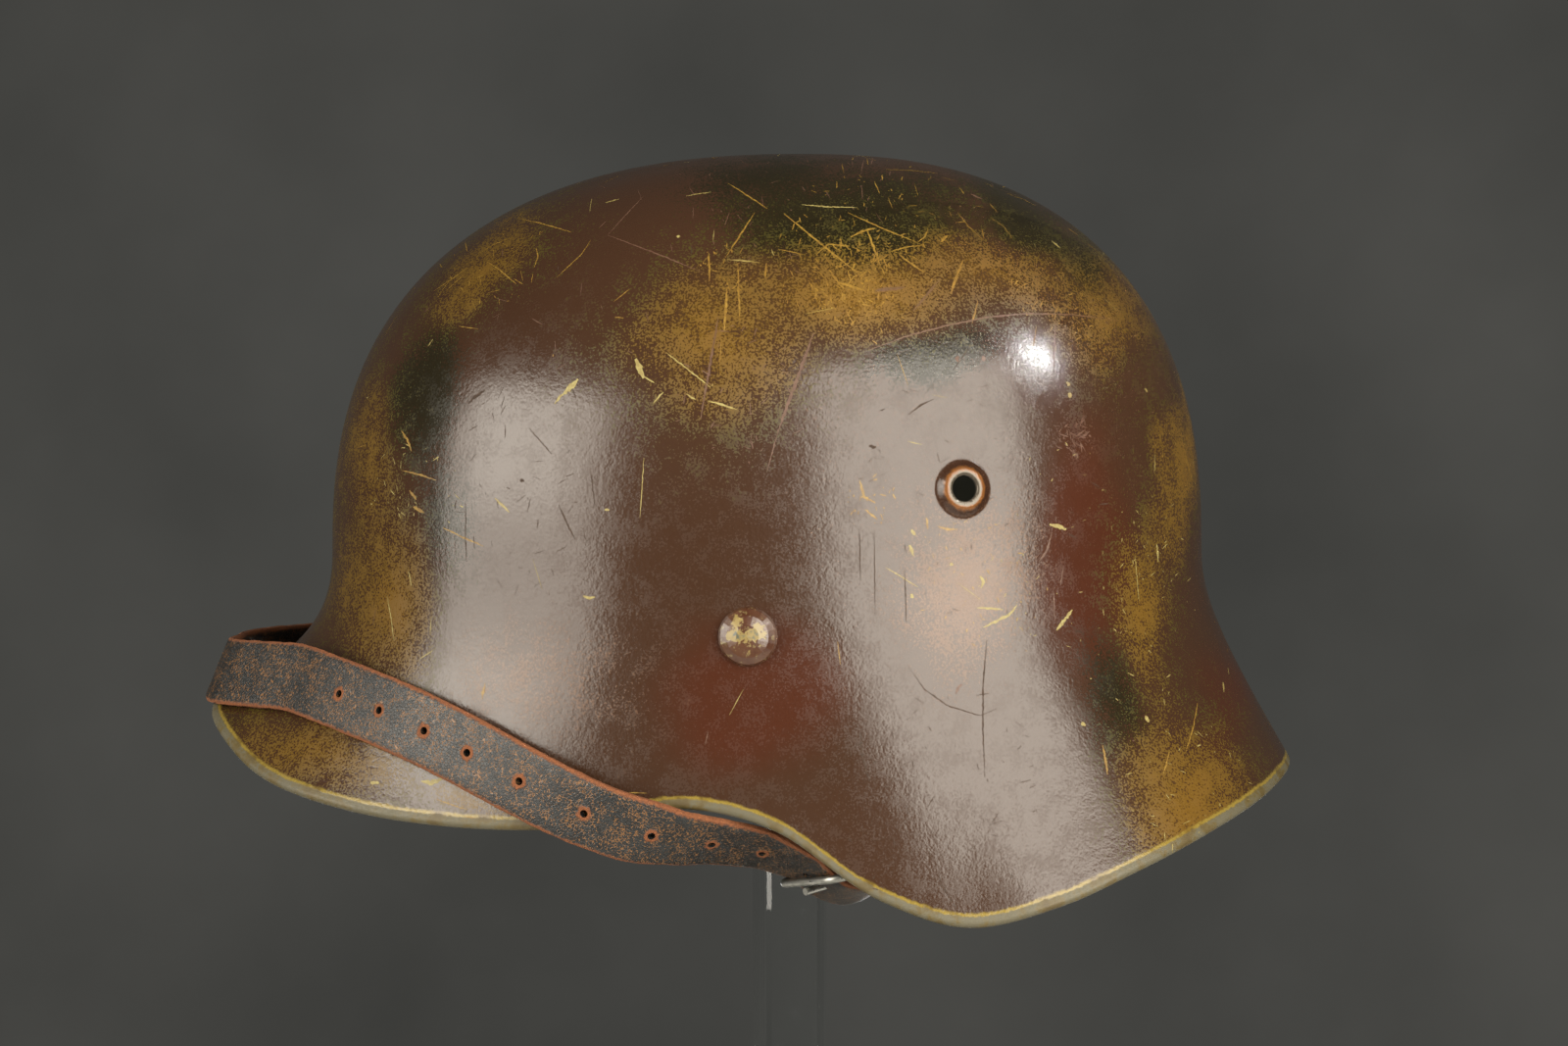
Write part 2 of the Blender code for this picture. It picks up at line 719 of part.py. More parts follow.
def strap_way(side_rows):
    """The strap on one side, from the middle of the visor to the end of the rows.

    Each step is a point, the way forward, the way across to the upper edge, and the way
    out of the face that looks away from the helmet.
    """
    rows = [row for row in STRAP_SHARED + side_rows if row[0] > 0]
    before = [strap_section(row, -1) for row in rows[:1]]
    sections = before + [strap_section(row) for row in STRAP_SHARED[:1] + tuple(rows)]
    packed = [np.concatenate(section) for section in sections]
    way = smooth_way(packed, STRAP_STEPS)[STRAP_STEPS:]
    steps = []
    for index, values in enumerate(way):
        ahead = way[min(index + 1, len(way) - 1)][:3]
        behind = way[index - 1][:3] if index else ahead * [-1, 1, 1]
        forward = unit(ahead - behind)
        tip = values[3:]
        across = unit(tip - forward * np.dot(tip, forward))
        steps.append((values[:3], forward, across, np.cross(forward, across)))
    return steps


def mirrored(step):
    """A step of the left side seen from the right, walked the other way."""
    mirror = np.array([-1, 1, 1])
    place, forward, across, outward = step
    return place * mirror, -forward * mirror, across * mirror, outward * mirror


def ribbon_ring(place, across, outward, width, thickness):
    """Four corners of a strap's section, in order round it."""
    corners = ((1, 1), (1, -1), (-1, -1), (-1, 1))
    return [
        place + across * wide * width / 2 + outward * high * thickness / 2
        for wide, high in corners
    ]


def looped_end(step):
    """The strap's end, taken round a bail's bar and back along itself."""
    place, forward, across, outward = step
    radius = BAIL_WIRE / 2 + SEAT + STRAP_THICKNESS / 2
    steps = []
    for turn in range(0, 181, 30):
        angle = math.radians(turn)
        out = outward * math.cos(angle) + forward * math.sin(angle)
        ahead = forward * math.cos(angle) - outward * math.sin(angle)
        steps.append((place + out * radius, ahead, across, out))
    return steps


def strap_run(side_rows):
    """The middle line of one side, drawn so that it meets its bail's bar from outside."""
    steps = strap_way(side_rows)
    radius = BAIL_WIRE / 2 + SEAT + STRAP_THICKNESS / 2
    lift = []
    travelled = 0.0
    for index in range(len(steps) - 1, -1, -1):
        lift.append(radius * max(0.0, 1 - travelled / (2 * STRAP_WIDTH)) ** 2)
        if index:
            travelled += float(np.linalg.norm(steps[index][0] - steps[index - 1][0]))
    lift = lift[::-1]
    return [
        (place + outward * rise, forward, across, outward)
        for (place, forward, across, outward), rise in zip(steps, lift)
    ]


def return_tail(run):
    """The strap's end after the bar, which closes in on the strap's inner face."""
    least = STRAP_THICKNESS + SEAT
    most = BAIL_WIRE + 2 * SEAT + STRAP_THICKNESS
    steps = []
    travelled = 0.0
    for index in range(len(run) - 1, 0, -1):
        travelled += float(np.linalg.norm(run[index][0] - run[index - 1][0]))
        place, forward, across, outward = run[index - 1]
        gap = least + (most - least) * max(0.0, 1 - travelled / STRAP_END_DEPTH) ** 2
        steps.append((place - outward * gap, -forward, across, -outward))
        if travelled > STRAP_END_DEPTH:
            break
    return steps


def chin_strap(material):
    """One long strap: over the visor, through the buckle on the left, looped on the right."""
    left = strap_way(STRAP_LEFT)
    right = strap_run(STRAP_RIGHT)
    loop = looped_end(strap_way(STRAP_RIGHT)[-1])
    right_side = right[:-1] + loop + return_tail(right)
    steps = [mirrored(step) for step in right_side[1:][::-1]] + left
    rings = [
        ribbon_ring(place, across, outward, STRAP_WIDTH, STRAP_THICKNESS)
        for place, _, across, outward in steps
    ]
    strap = ring_mesh("chin_strap", rings, material, closed=False)
    for index, (place, _, _, outward) in enumerate(hole_places()):
        hole = rod(f"strap_hole_{index}", place, outward, STRAP_HOLE / 2, 3 * STRAP_THICKNESS)
        boolean(strap, hole, "DIFFERENCE")
    slot = prong_wire("prong_slot", PRONG_WIRE / 2 + SEAT, None, helper=True)
    boolean(strap, slot, "DIFFERENCE")
    return strap


def step_at(steps, distance):
    """The strap's frame at a distance from the start of the steps."""
    travelled = 0.0
    for first, second in zip(steps, steps[1:]):
        length = float(np.linalg.norm(second[0] - first[0]))
        if travelled + length >= distance:
            share = (distance - travelled) / length
            place, forward, across, _ = (
                a + (b - a) * share for a, b in zip(first, second)
            )
            forward = unit(forward)
            across = unit(across - forward * np.dot(across, forward))
            return place, forward, across, np.cross(forward, across)
        travelled += length
    return steps[-1]


def way_length(steps):
    return sum(float(np.linalg.norm(b[0] - a[0])) for a, b in zip(steps, steps[1:]))


def hole_places():
    steps = strap_way(STRAP_LEFT)
    length = way_length(steps)
    return [step_at(steps, share * length) for share in STRAP_HOLES]


def buckle_bars():
    """Middle of the buckle's outer bar and inner bar, and the ways across and out of it."""
    steps = strap_way(STRAP_LEFT)
    length = way_length(steps)
    place, _, across, outward = step_at(steps, length - BUCKLE_BACK)
    far = step_at(steps, length - BUCKLE_BACK + BUCKLE_LENGTH)
    over = STRAP_THICKNESS / 2 + SEAT + BUCKLE_WIRE / 2
    outer = place + outward * over
    way = far[0] - far[3] * (over + STRAP_THICKNESS + BUCKLE_SLACK) - outer
    way = way - across * np.dot(way, across)
    return outer, outer + way, across, np.cross(unit(way), across)


def buckle_frame(material):
    outer, inner, across, _ = buckle_bars()
    length = float(np.linalg.norm(inner - outer))
    size = (length, STRAP_WIDTH + 2 * BUCKLE_SIDE_ROOM + BUCKLE_WIRE)
    ways = ((inner - outer) / length, across)
    middle = (outer + inner) / 2
    return wire_loop("buckle_frame", middle, ways, size, BUCKLE_CORNER, BUCKLE_WIRE / 2, material)


def prong_wire(name, radius, material, helper=False):
    """The prong: a hook round the inner bar, then straight to rest on the outer bar."""
    outer, inner, _, outward = buckle_bars()
    back = unit(outer - inner)
    rise = BUCKLE_WIRE / 2 + SEAT + PRONG_WIRE / 2
    centres = []
    for turn in range(-210, 1, 30):
        angle = math.radians(turn)
        centres.append(inner + rise * (outward * math.cos(angle) + back * math.sin(angle)))
    centres.append(outer + outward * rise)
    centres.append(outer + outward * rise + back * BUCKLE_WIRE * 0.6)
    return wire(name, centres, radius, material, closed=False, helper=helper)


def clear_stand(material):
    """Base plate, square post and a round top that sits under the crown."""
    turn = Matrix.Rotation(math.radians(STAND_TURN), 4, "Z")
    spot = Matrix.Translation((0.0, POST_SHIFT, 0.0))
    top_height = crown_seat() - SEAT
    base = box_object("stand_base", BASE_SIZE, 0.0, BASE_THICKNESS, material)
    low, high = BASE_THICKNESS + SEAT, top_height - TOP_THICKNESS - SEAT
    post = box_object("stand_post", POST_SIZE, low, high, material)
    for obj in (base, post):
        obj.matrix_world = spot @ turn
    radius = TOP_DIAMETER / 2
    profile = [
        (0, -TOP_THICKNESS),
        (radius - EDGE_ROUND, -TOP_THICKNESS),
        (radius, EDGE_ROUND - TOP_THICKNESS),
        (radius, -EDGE_ROUND),
        (radius - EDGE_ROUND, 0),
        (0, 0),
    ]
    turned("stand_top", profile, (0.0, POST_SHIFT, top_height), (0, 0, 1), material)


def box_object(name, size, low, high, material):
    half = size / 2
    square = ((-half, -half), (half, -half), (half, half), (-half, half))
    corners = [(x, y, z) for z in (low, high) for x, y in square]
    faces = [(0, 3, 2, 1), (4, 5, 6, 7)]
    faces += [(side, (side + 1) % 4, 4 + (side + 1) % 4, 4 + side) for side in range(4)]
    obj = mesh_object(name, corners, faces, material)
    bevel = obj.modifiers.new("edges", "BEVEL")
    bevel.width = EDGE_ROUND
    bevel.segments = 1
    return obj


def crown_seat():
    """Lowest height at which the stand's round top meets the inside of the dome."""
    graph = bpy.context.evaluated_depsgraph_get()
    tree = BVHTree.FromObject(bpy.data.objects["shell"], graph)
    heights = []
    for side in range(ROUND_SIDES * 2):
        turn = math.pi * side / ROUND_SIDES
        flat = Vector((math.cos(turn), math.sin(turn), 0.0)) * TOP_DIAMETER / 2
        start = Vector((0.0, POST_SHIFT, waist_height())) + flat
        hit = tree.ray_cast(start, Vector((0.0, 0.0, 1.0)))[0]
        heights.append(hit.z)
    return min(heights)


def short_strap_steps():
    """The middle line of the short strap, from the buckle's inner bar to the left bail."""
    outer, inner, across, _ = buckle_bars()
    place, upward, along = bail_frame(1)
    along = along * np.sign(np.dot(across, along))
    away = unit(inner - outer)
    start = inner + away * SHORT_STRAP_LEAD
    end = place - upward * SHORT_STRAP_LEAD
    span = float(np.linalg.norm(end - start))
    points = [inner]
    crosses = [across]
    for index in range(SHORT_STRAP_ROWS + 1):
        share = index / SHORT_STRAP_ROWS
        blend = (3 - 2 * share) * share**2
        leave = share * (1 - share) ** 2
        arrive = (1 - share) * share**2
        point = (1 - blend) * start + blend * end + (leave * away - arrive * upward) * span
        points.append(point)
        crosses.append(across + (along - across) * blend)
    points.append(place)
    crosses.append(along)
    frames = []
    for index, (point, cross) in enumerate(zip(points, crosses)):
        ahead = points[min(index + 1, len(points) - 1)]
        behind = points[max(index - 1, 0)]
        forward = unit(ahead - behind)
        cross = unit(cross - forward * np.dot(cross, forward))
        frames.append((point, forward, cross, np.cross(forward, cross)))
    return frames


def short_strap(material):
    """A closed leather loop from the buckle's inner bar to the left bail."""
    steps = short_strap_steps()
    wide = BAIL_WIRE / 2 + SEAT + STRAP_THICKNESS / 2
    slim = STRAP_THICKNESS / 2 + SEAT / 2
    size = (SHORT_STRAP_WIDTH, STRAP_THICKNESS)

    def layer(side):
        rings = []
        for index, (point, _, cross, outward) in enumerate(steps):
            pinch = abs(2 * index / (len(steps) - 1) - 1) ** 2
            lift = (slim + (wide - slim) * pinch) * side
            rings.append(ribbon_ring(point + outward * lift, cross, outward * side, *size))
        return rings

    def turn_round(step, start):
        point, forward, cross, outward = step
        rings = []
        for turn in range(start + 30, start + 180, 30):
            angle = math.radians(turn)
            out = outward * math.cos(angle) + forward * math.sin(angle)
            rings.append(ribbon_ring(point + out * wide, cross, out, *size))
        return rings

    rings = layer(1) + turn_round(steps[-1], 0) + layer(-1)[::-1] + turn_round(steps[0], 180)
    strap = ring_mesh("buckle_strap", rings, material, closed=True)
    boolean(strap, prong_room(), "DIFFERENCE")
    return strap


def prong_room():
    """Room in the short strap's loop for the prong's hook."""
    outer, inner, across, outward = buckle_bars()
    back = unit(outer - inner)
    wide = PRONG_WIRE / 2 + PRONG_ROOM
    deep = BUCKLE_WIRE / 2 + 2 * STRAP_THICKNESS
    corners = []
    for side in (-1, 1):
        for rise in (-1, 1):
            for way in (-1, 2):
                point = inner + across * side * wide + outward * rise * deep + back * way * deep
                corners.append(Vector(point))
    return hull_object("prong_room", corners)


def centre_on_origin():
    """Parents every piece to one empty that stands the whole at the middle of its box."""
    graph = bpy.context.evaluated_depsgraph_get()
    low, high = np.full(3, np.inf), np.full(3, -np.inf)
    pieces = [obj for obj in bpy.data.objects if obj.type == "MESH"]
    for obj in pieces:
        if obj.hide_render:
            continue
        for corner in obj.evaluated_get(graph).bound_box:
            point = np.array(obj.matrix_world @ Vector(corner))
            low, high = np.minimum(low, point), np.maximum(high, point)
    frame = bpy.data.objects.new("whole", None)
    bpy.context.collection.objects.link(frame)
    for obj in pieces:
        obj.parent = frame
    middle = (low + high) / 2
    frame.location = (-middle[0], -middle[1], 0.0)


def main():
    clear_scene()
    paint = make_material("painted_steel", (0.145, 0.068, 0.030), 0.32, 0.0)
    pin_steel = make_material("pin_steel", (0.150, 0.075, 0.036), 0.35, 0.0)
    band_metal = make_material("band_metal", (0.42, 0.42, 0.40), 0.45, 1.0)
    leather = make_material("strap_leather", (0.030, 0.028, 0.026), 0.55, 0.0)
    buckle_steel = make_material("buckle_steel", (0.52, 0.53, 0.50), 0.32, 1.0)
    acrylic = make_material("clear_acrylic", (0.90, 0.92, 0.92), 0.04, 0.0, alpha=0.35)
    shell(paint)
    for which in PIN_ANGLES:
        split_pin(which, pin_steel)
    liner_band(band_metal)
    for side, name in ((1, "left"), (-1, "right")):
        strap_bail(side, name, buckle_steel)
    chin_strap(leather)
    buckle_frame(buckle_steel)
    prong_wire("buckle_prong", PRONG_WIRE / 2, buckle_steel)
    short_strap(leather)
    clear_stand(acrylic)
    centre_on_origin()


main()
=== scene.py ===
"""Looks of the steel combat helmet on its clear stand. Metres, +Z up, visor to -Y."""

import functools
import math
import random

import bmesh
import bpy
import numpy as np
from mathutils import Matrix, Vector, noise
from mathutils.bvhtree import BVHTree


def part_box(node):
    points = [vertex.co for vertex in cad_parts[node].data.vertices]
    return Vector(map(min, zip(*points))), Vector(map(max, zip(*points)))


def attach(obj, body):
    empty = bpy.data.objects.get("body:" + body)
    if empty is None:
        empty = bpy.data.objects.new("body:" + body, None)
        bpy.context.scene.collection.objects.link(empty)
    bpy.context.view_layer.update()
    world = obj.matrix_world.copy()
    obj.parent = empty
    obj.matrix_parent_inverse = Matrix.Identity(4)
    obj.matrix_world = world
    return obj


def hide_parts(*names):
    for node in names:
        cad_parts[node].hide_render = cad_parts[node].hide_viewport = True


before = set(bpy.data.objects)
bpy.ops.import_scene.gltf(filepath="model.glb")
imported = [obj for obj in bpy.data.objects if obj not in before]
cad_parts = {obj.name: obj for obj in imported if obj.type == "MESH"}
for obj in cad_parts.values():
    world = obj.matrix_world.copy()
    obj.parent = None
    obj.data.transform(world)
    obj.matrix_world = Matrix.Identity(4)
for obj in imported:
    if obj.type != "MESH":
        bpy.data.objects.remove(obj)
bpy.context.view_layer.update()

# Shell, the same sizes as the solids
DOME_LENGTH = 0.2262
DOME_WIDTH = 0.1920
DOME_HEIGHT = 0.1027
APEX_SHIFT = 0.0095
PLAN_POWER = 2.15
DOME_POWER = 2.45
SKIRT_DROP = 0.0827
VISOR_REACH = 0.0298
NECK_REACH = 0.0222
WALL = 0.0012
BEAD = 0.0027
BEAD_FOLD = 0.0045
FOLD_STEP = 0.0004
RIM_HEIGHT = 0.1150
WAIST = RIM_HEIGHT + SKIRT_DROP

VENT_HOLE = 0.0063
VENT_LIP = 0.0092
VENT_BASE = 0.0146
VENT_HEIGHT = 0.0019
VENT_ANGLE = 118.0
VENT_RISE = 0.176
VENT_EDGE = 0.0003  # the slope starts this far inside the lip
VENT_ROUND = 0.0007  # width of the rounding at the hole
VENT_DIP = 0.0005  # how far the rounding drops at the hole
VENT_PATCH = (0.0125, 0.0105, 0.0090)  # the mesh is made finer within each of these reaches
VENT_REACH = 0.013

PIN_SHANK = 0.0042
PIN_ANGLES = {"left": 87.4, "right": -87.4}
PIN_DROP = 0.203

# Distances that the paint reads, in metres
INSIDE = 0.001  # inside the shell they are negative, from this on
FAR = 0.05  # stands for anything too far off to matter
AT_CROWN = 0.2  # stands for the crown's distance from the rim

BAIL_LENGTH = 0.0120
BAIL_WIRE = 0.0022
BAIL_CORNER = 0.0022
BAIL_SET_BACK = {"left": 11.0, "right": 0.0}

STRAP_WIDTH = 0.0172
SHORT_STRAP_WIDTH = 0.0136
SHORT_STRAP_LEAD = 0.0032
STRAP_THICKNESS = 0.0022
STRAP_HOLE = 0.0019
WRAP_LEAN = 30.0
STRAP_END_DEPTH = 0.0120
FRAY = 0.00016

BUCKLE_WIRE = 0.0020
BUCKLE_LENGTH = 0.0135
BUCKLE_SIDE_ROOM = 0.0015
BUCKLE_CORNER = 0.0038
BUCKLE_SLACK = 0.0012
BUCKLE_BACK = 0.0280
PRONG_WIRE = 0.0018
PRONG_ROOM = 0.0007
SEAT = 0.0003

# angle, crease_out, crease_drop, rim_out, rim_drop, sharpness
SKIRT = (
    (0, 0.09, 0.265, 0.97, 0.452, 0.80),
    (13, 0.09, 0.275, 1.02, 0.503, 0.80),
    (24, 0.08, 0.305, 0.88, 0.630, 0.80),
    (36, 0.07, 0.365, 0.64, 0.706, 0.75),
    (50, 0.05, 0.425, 0.34, 0.746, 0.70),
    (65, 0.03, 0.425, 0.15, 0.738, 0.65),
    (79, 0.02, 0.425, 0.11, 0.681, 0.60),
    (92, 0.02, 0.405, 0.22, 0.747, 0.60),
    (104, 0.02, 0.385, 0.60, 0.926, 0.60),
    (113, 0.03, 0.365, 0.91, 0.995, 0.60),
    (122, 0.04, 0.345, 1.18, 0.936, 0.60),
    (131, 0.05, 0.315, 1.28, 0.845, 0.65),
    (145, 0.07, 0.275, 1.23, 0.733, 0.70),
    (162, 0.07, 0.225, 1.07, 0.655, 0.75),
    (180, 0.08, 0.200, 1.00, 0.635, 0.75),
)

# angle, stand_off, drop, lean
STRAP_SHARED = (
    (0, 0.05, 0.368, -22),
    (5, 0.06, 0.368, -22),
    (10, 0.06, 0.367, -22),
    (16, 0.05, 0.364, -22),
    (22, 0.06, 0.364, -20),
    (28, 0.06, 0.386, -18),
    (40.5, 0.05, 0.457, -12),
    (49, 0.04, 0.529, -6),
    (57.5, 0.04, 0.616, 0),
    (65, 0.05, 0.692, 8),
    (71, -0.07, 0.743, 20),
    (77, -0.14, 0.783, 40),
    (83, -0.45, 0.801, 50),
    (89.5, -0.79, 0.830, 54),
)
STRAP_LEFT = (
    (95.5, -1.16, 0.880, 60),
    (101.5, -1.74, 0.952, 70),
    (108, -2.40, 0.978, 72),
    (115, -3.00, 0.955, 67),
)
STRAP_RIGHT = (
    (96, -1.20, 0.858, 50),
    (103, -1.55, 0.843, 38),
    (109.5, -1.85, 0.787, 22),
    (115.5, -2.00, 0.711, 8),
)
STRAP_HOLES = (0.319, 0.381, 0.443, 0.498, 0.562, 0.636, 0.705, 0.769, 0.825)
PRONG_HOLE = 0.004  # from the buckle's outer bar to the prong's hole, as a share of the side

# Mesh fineness
SHELL_COLUMNS = 256
DOME_ROWS = 46
SKIRT_ROWS = 36
BEAD_STEPS = 8
ROUND_SIDES = 56
WIRE_SIDES = 16
STRAP_STEPS = 12
HOOK_STEP = 15  # degrees between points where a strap or wire turns round a bar

# Half of a strap's section, as shares of half its width and half its thickness
STRAP_PROFILE = (
    (0.0, 1.0),
    (0.30, 1.0),
    (0.60, 1.0),
    (0.84, 0.98),
    (0.94, 0.82),
    (1.0, 0.40),
    (1.0, -0.40),
    (0.94, -0.82),
    (0.84, -0.98),
    (0.60, -1.0),
    (0.30, -1.0),
)

# Camera and the photograph's own measure, then the floor
HEART = (0.0, 0.01, 0.2)  # middle of the helmet
CAMERA_DISTANCE = 1.0
CAMERA_RISE = 2.0  # degrees
AIM_SHIFT = 0.0044
AIM_RISE = 0.0068
PIXELS_PER_METRE = 3896
PICTURE_WIDTH = 1600
PICTURE_HEIGHT = 1067
SENSOR = 36.0
FLOOR_RADIUS = 0.33
FLOOR_DROP = 0.0005

# Paint colours
BROWN = (0.036, 0.0165, 0.0085)
RED_BROWN = (0.046, 0.0135, 0.0060)
OLIVE_BLACK = (0.0120, 0.0092, 0.0034)
OLIVE = (0.048, 0.040, 0.0065)
OCHRE = (0.098, 0.056, 0.0080)
ORANGE = (0.125, 0.066, 0.0090)
# Painted sheen: a lighter tan, laid where the softboxes' reflections fall
SHEEN_TAN = (0.125, 0.066, 0.0360)
WORN_GREY = (0.085, 0.070, 0.052)
EDGE_YELLOW = (0.19, 0.135, 0.025)
BARE_STEEL = (0.085, 0.075, 0.045)
RUST = (0.150, 0.058, 0.0150)
RIM_BROWN = (0.060, 0.044, 0.016)
# Painted shade, partly rust: the darker brown over each vent boss's slope and foot
VENT_FOOT_SHADE_AND_RUST = (0.030, 0.013, 0.007)
BLACK_LEATHER = ((0.0080, 0.0084, 0.0088), (0.016, 0.017, 0.0175))
BROWN_LEATHER = ((0.085, 0.040, 0.014), (0.19, 0.088, 0.028))
RAW_LEATHER = ((0.070, 0.020, 0.006), (0.27, 0.090, 0.028))
PIN_BROWN = (0.075, 0.034, 0.018)
PIN_STREAK = (0.20, 0.16, 0.07)
PIN_CHIP = (0.20, 0.145, 0.045)
PIN_HEART = (0.060, 0.066, 0.050)

# Sprayed patches, and the tan patches of painted sheen, where the photograph shows them: x and y of
# the middle, half the length and half the height in picture pixels, the turn in degrees, the depth
NEAR_OCHRE = (
    (500, 272, 115, 40, 38, 0.9),
    (376, 470, 40, 120, 0, 0.7),
    (390, 620, 66, 130, 0, 1.1),
    (735, 352, 130, 100, 25, 0.9),
    (868, 292, 150, 62, 5, 1.1),
    (1010, 278, 150, 55, -12, 0.8),
    (1120, 325, 75, 75, 0, 0.8),
    (1198, 470, 34, 140, -4, 1.1),
    (1172, 625, 40, 125, 8, 1.0),
    (1212, 815, 85, 115, 20, 1.2),
    (330, 765, 130, 60, -14, 0.9),
    (480, 812, 80, 24, -8, 0.8),
)
NEAR_DARK = (
    (865, 228, 160, 58, 0, 1.1),
    (780, 188, 95, 38, 8, 0.7),
    (1045, 222, 95, 40, -32, 1.0),
    (945, 352, 100, 34, 8, 0.9),
    (1110, 275, 50, 50, 0, 0.8),
    (432, 400, 46, 100, -8, 1.0),
    (452, 530, 30, 90, 0, 0.6),
    (250, 700, 40, 60, 0, 0.5),
    (470, 775, 80, 20, -15, 0.8),
    (1140, 725, 40, 90, 10, 0.6),
)
NEAR_RED = (
    (765, 715, 135, 100, 0, 1.0),
    (1105, 560, 75, 180, 0, 0.9),
    (1270, 690, 50, 160, -25, 0.5),
)
# Painted sheen: lighter tan patches where the two softboxes' reflections fall
NEAR_SHEEN_TAN = (
    (985, 590, 95, 115, 0, 1.0),
    (540, 690, 110, 70, 0, 0.5),
)

# Marks in the paint: the picture points that each one runs through, then its width in pixels
OCHRE_MARKS = (
    ((443, 297, 478, 273), 2),
    ((447, 303, 463, 280), 1.6),
    ((455, 297, 477, 277), 1.6),
    ((487, 260, 503, 250, 520, 243), 1.8),
    ((497, 267, 512, 277, 527, 290), 1.6),
    ((530, 223, 556, 229, 583, 237), 1.8),
    ((547, 253, 549, 262, 545, 273), 1.5),
    ((603, 245, 593, 260, 568, 283), 1.4),
    ((742, 293, 739, 337), 3),
    ((723, 258, 724, 287), 2.4),
    ((753, 270, 755, 327), 2),
    ((782, 268, 781, 284), 2),
    ((770, 217, 754, 242, 740, 263), 1.8),
    ((743, 187, 765, 201, 783, 213), 2.2),
    ((800, 218, 835, 247, 877, 280), 2.6),
    ((865, 217, 900, 233, 935, 247), 2.4),
    ((868, 242, 880, 236, 893, 233), 4),
    ((833, 260, 845, 249, 867, 251), 2.6),
    ((885, 235, 892, 254, 898, 270), 3),
    ((908, 257, 925, 252, 943, 250), 1.8),
    ((918, 260, 931, 270, 943, 278), 3),
    ((947, 233, 944, 241, 937, 247), 1.6),
    ((960, 247, 967, 240), 3),
    ((983, 265, 976, 282, 970, 300), 3.4),
    ((977, 217, 989, 232, 1003, 245), 1.6),
    ((1010, 222, 1024, 231, 1033, 243), 1.6),
    ((903, 173, 930, 174, 957, 177), 2),
    ((1010, 208, 1018, 217), 2),
    ((1027, 197, 1043, 203, 1057, 210), 2),
    ((1090, 233, 1100, 240), 2.4),
    ((1108, 247, 1123, 260), 1.6),
    ((998, 307, 992, 330), 2.2),
    ((855, 288, 880, 296), 3.6),
    ((846, 275, 858, 292), 2.4),
    ((452, 538, 472, 548, 493, 557), 2.2),
    ((418, 500, 425, 510), 4),
    ((422, 517, 433, 523), 4),
    ((410, 480, 428, 484, 445, 490), 2),
    ((410, 440, 416, 449, 420, 460), 3.4),
    ((877, 490, 882, 507, 893, 513), 3),
    ((883, 520, 895, 530), 2.8),
    ((945, 528, 947, 540), 3),
    ((957, 537, 966, 540, 977, 540), 3.4),
    ((1125, 760, 1128, 775, 1130, 790), 3),
    ((1222, 717, 1218, 740, 1210, 767), 1.8),
    ((1193, 767, 1187, 790), 2),
    ((1205, 447, 1211, 470, 1217, 493), 1.6),
    ((492, 713, 493, 706, 495, 697), 3.4),
    ((445, 815, 461, 821, 477, 826), 1.4),
)
PALE_MARKS = (
    ((618, 207, 632, 203), 3),
    ((700, 200, 712, 198, 726, 196), 2),
    ((690, 241, 694, 241), 4),
    ((742, 265, 758, 266, 775, 268), 2),
    ((818, 209, 846, 211, 875, 212), 2.2),
    ((680, 360, 702, 377, 725, 395), 2),
    ((649, 366, 652, 374, 657, 386), 7),
    ((656, 383, 661, 387, 668, 391), 2),
    ((590, 387, 583, 394, 575, 402), 7),
    ((577, 400, 571, 405, 566, 412), 2.6),
    ((700, 402, 710, 408), 2),
    ((723, 409, 738, 413, 752, 418), 2.4),
    ((667, 411, 672, 405, 677, 400), 2.2),
    ((1073, 246, 1082, 253), 4),
    ((1088, 390, 1092, 393), 5),
    ((1090, 401, 1093, 405), 6),
    ((1168, 397, 1171, 400), 4.4),
    ((505, 508, 512, 515, 520, 523), 2.6),
    ((617, 520, 622, 520), 3),
    ((595, 608, 601, 610, 607, 609), 3),
    ((417, 583, 420, 598), 2),
    ((395, 607, 399, 630, 402, 653), 1.6),
    ((437, 353, 442, 346), 2.4),
    ((1071, 535, 1079, 537, 1088, 540), 4.6),
    ((1094, 622, 1086, 633, 1078, 643), 4.4),
    ((929, 606, 932, 610), 4.6),
    ((970, 574, 972, 577), 4),
    ((1169, 730, 1172, 737), 7),
    ((1103, 738, 1108, 740), 5.4),
    ((1248, 696, 1249, 706), 3),
    ((1180, 555, 1181, 564, 1182, 573), 4.6),
    ((1178, 463, 1178, 483), 1.8),
    ((1158, 567, 1160, 590, 1162, 613), 1.4),
    ((430, 797, 440, 799, 452, 794), 5.5),
    ((378, 798, 387, 799), 4.4),
    ((657, 467, 655, 500, 653, 528), 1.2),
    ((930, 540, 934, 546), 4.4),
    ((928, 556, 932, 567), 4.2),
    ((1000, 588, 1004, 594, 1001, 600), 4.4),
    ((997, 620, 1010, 621, 1023, 622), 2.4),
    ((1038, 617, 1030, 627, 1020, 632, 1003, 640), 3.2),
)
PINK_MARKS = (
    ((733, 323, 724, 375, 715, 427), 2.6),
    ((830, 340, 812, 390, 793, 443), 3.6),
    ((793, 443, 783, 480), 1.6),
    ((620, 240, 668, 258, 717, 278), 1.6),
    ((657, 200, 638, 220, 620, 240), 1.4),
    ((887, 357, 925, 343, 967, 332, 1005, 324, 1047, 320, 1095, 321, 1140, 327), 2.2),
    ((1077, 327, 1076, 352, 1075, 380), 2.2),
    ((932, 317, 944, 303, 960, 284), 2.6),
    ((893, 297, 907, 295, 923, 293), 5),
    ((990, 198, 1002, 203), 4.6),
    ((1085, 577, 1082, 597), 2),
    ((1075, 603, 1076, 633), 1.8),
    ((1073, 545, 1068, 562, 1060, 573), 3),
    ((975, 708, 978, 702, 982, 698), 3.6),
    ((977, 363, 977, 369), 4.6),
    ((1003, 363, 1004, 369), 4.4),
)
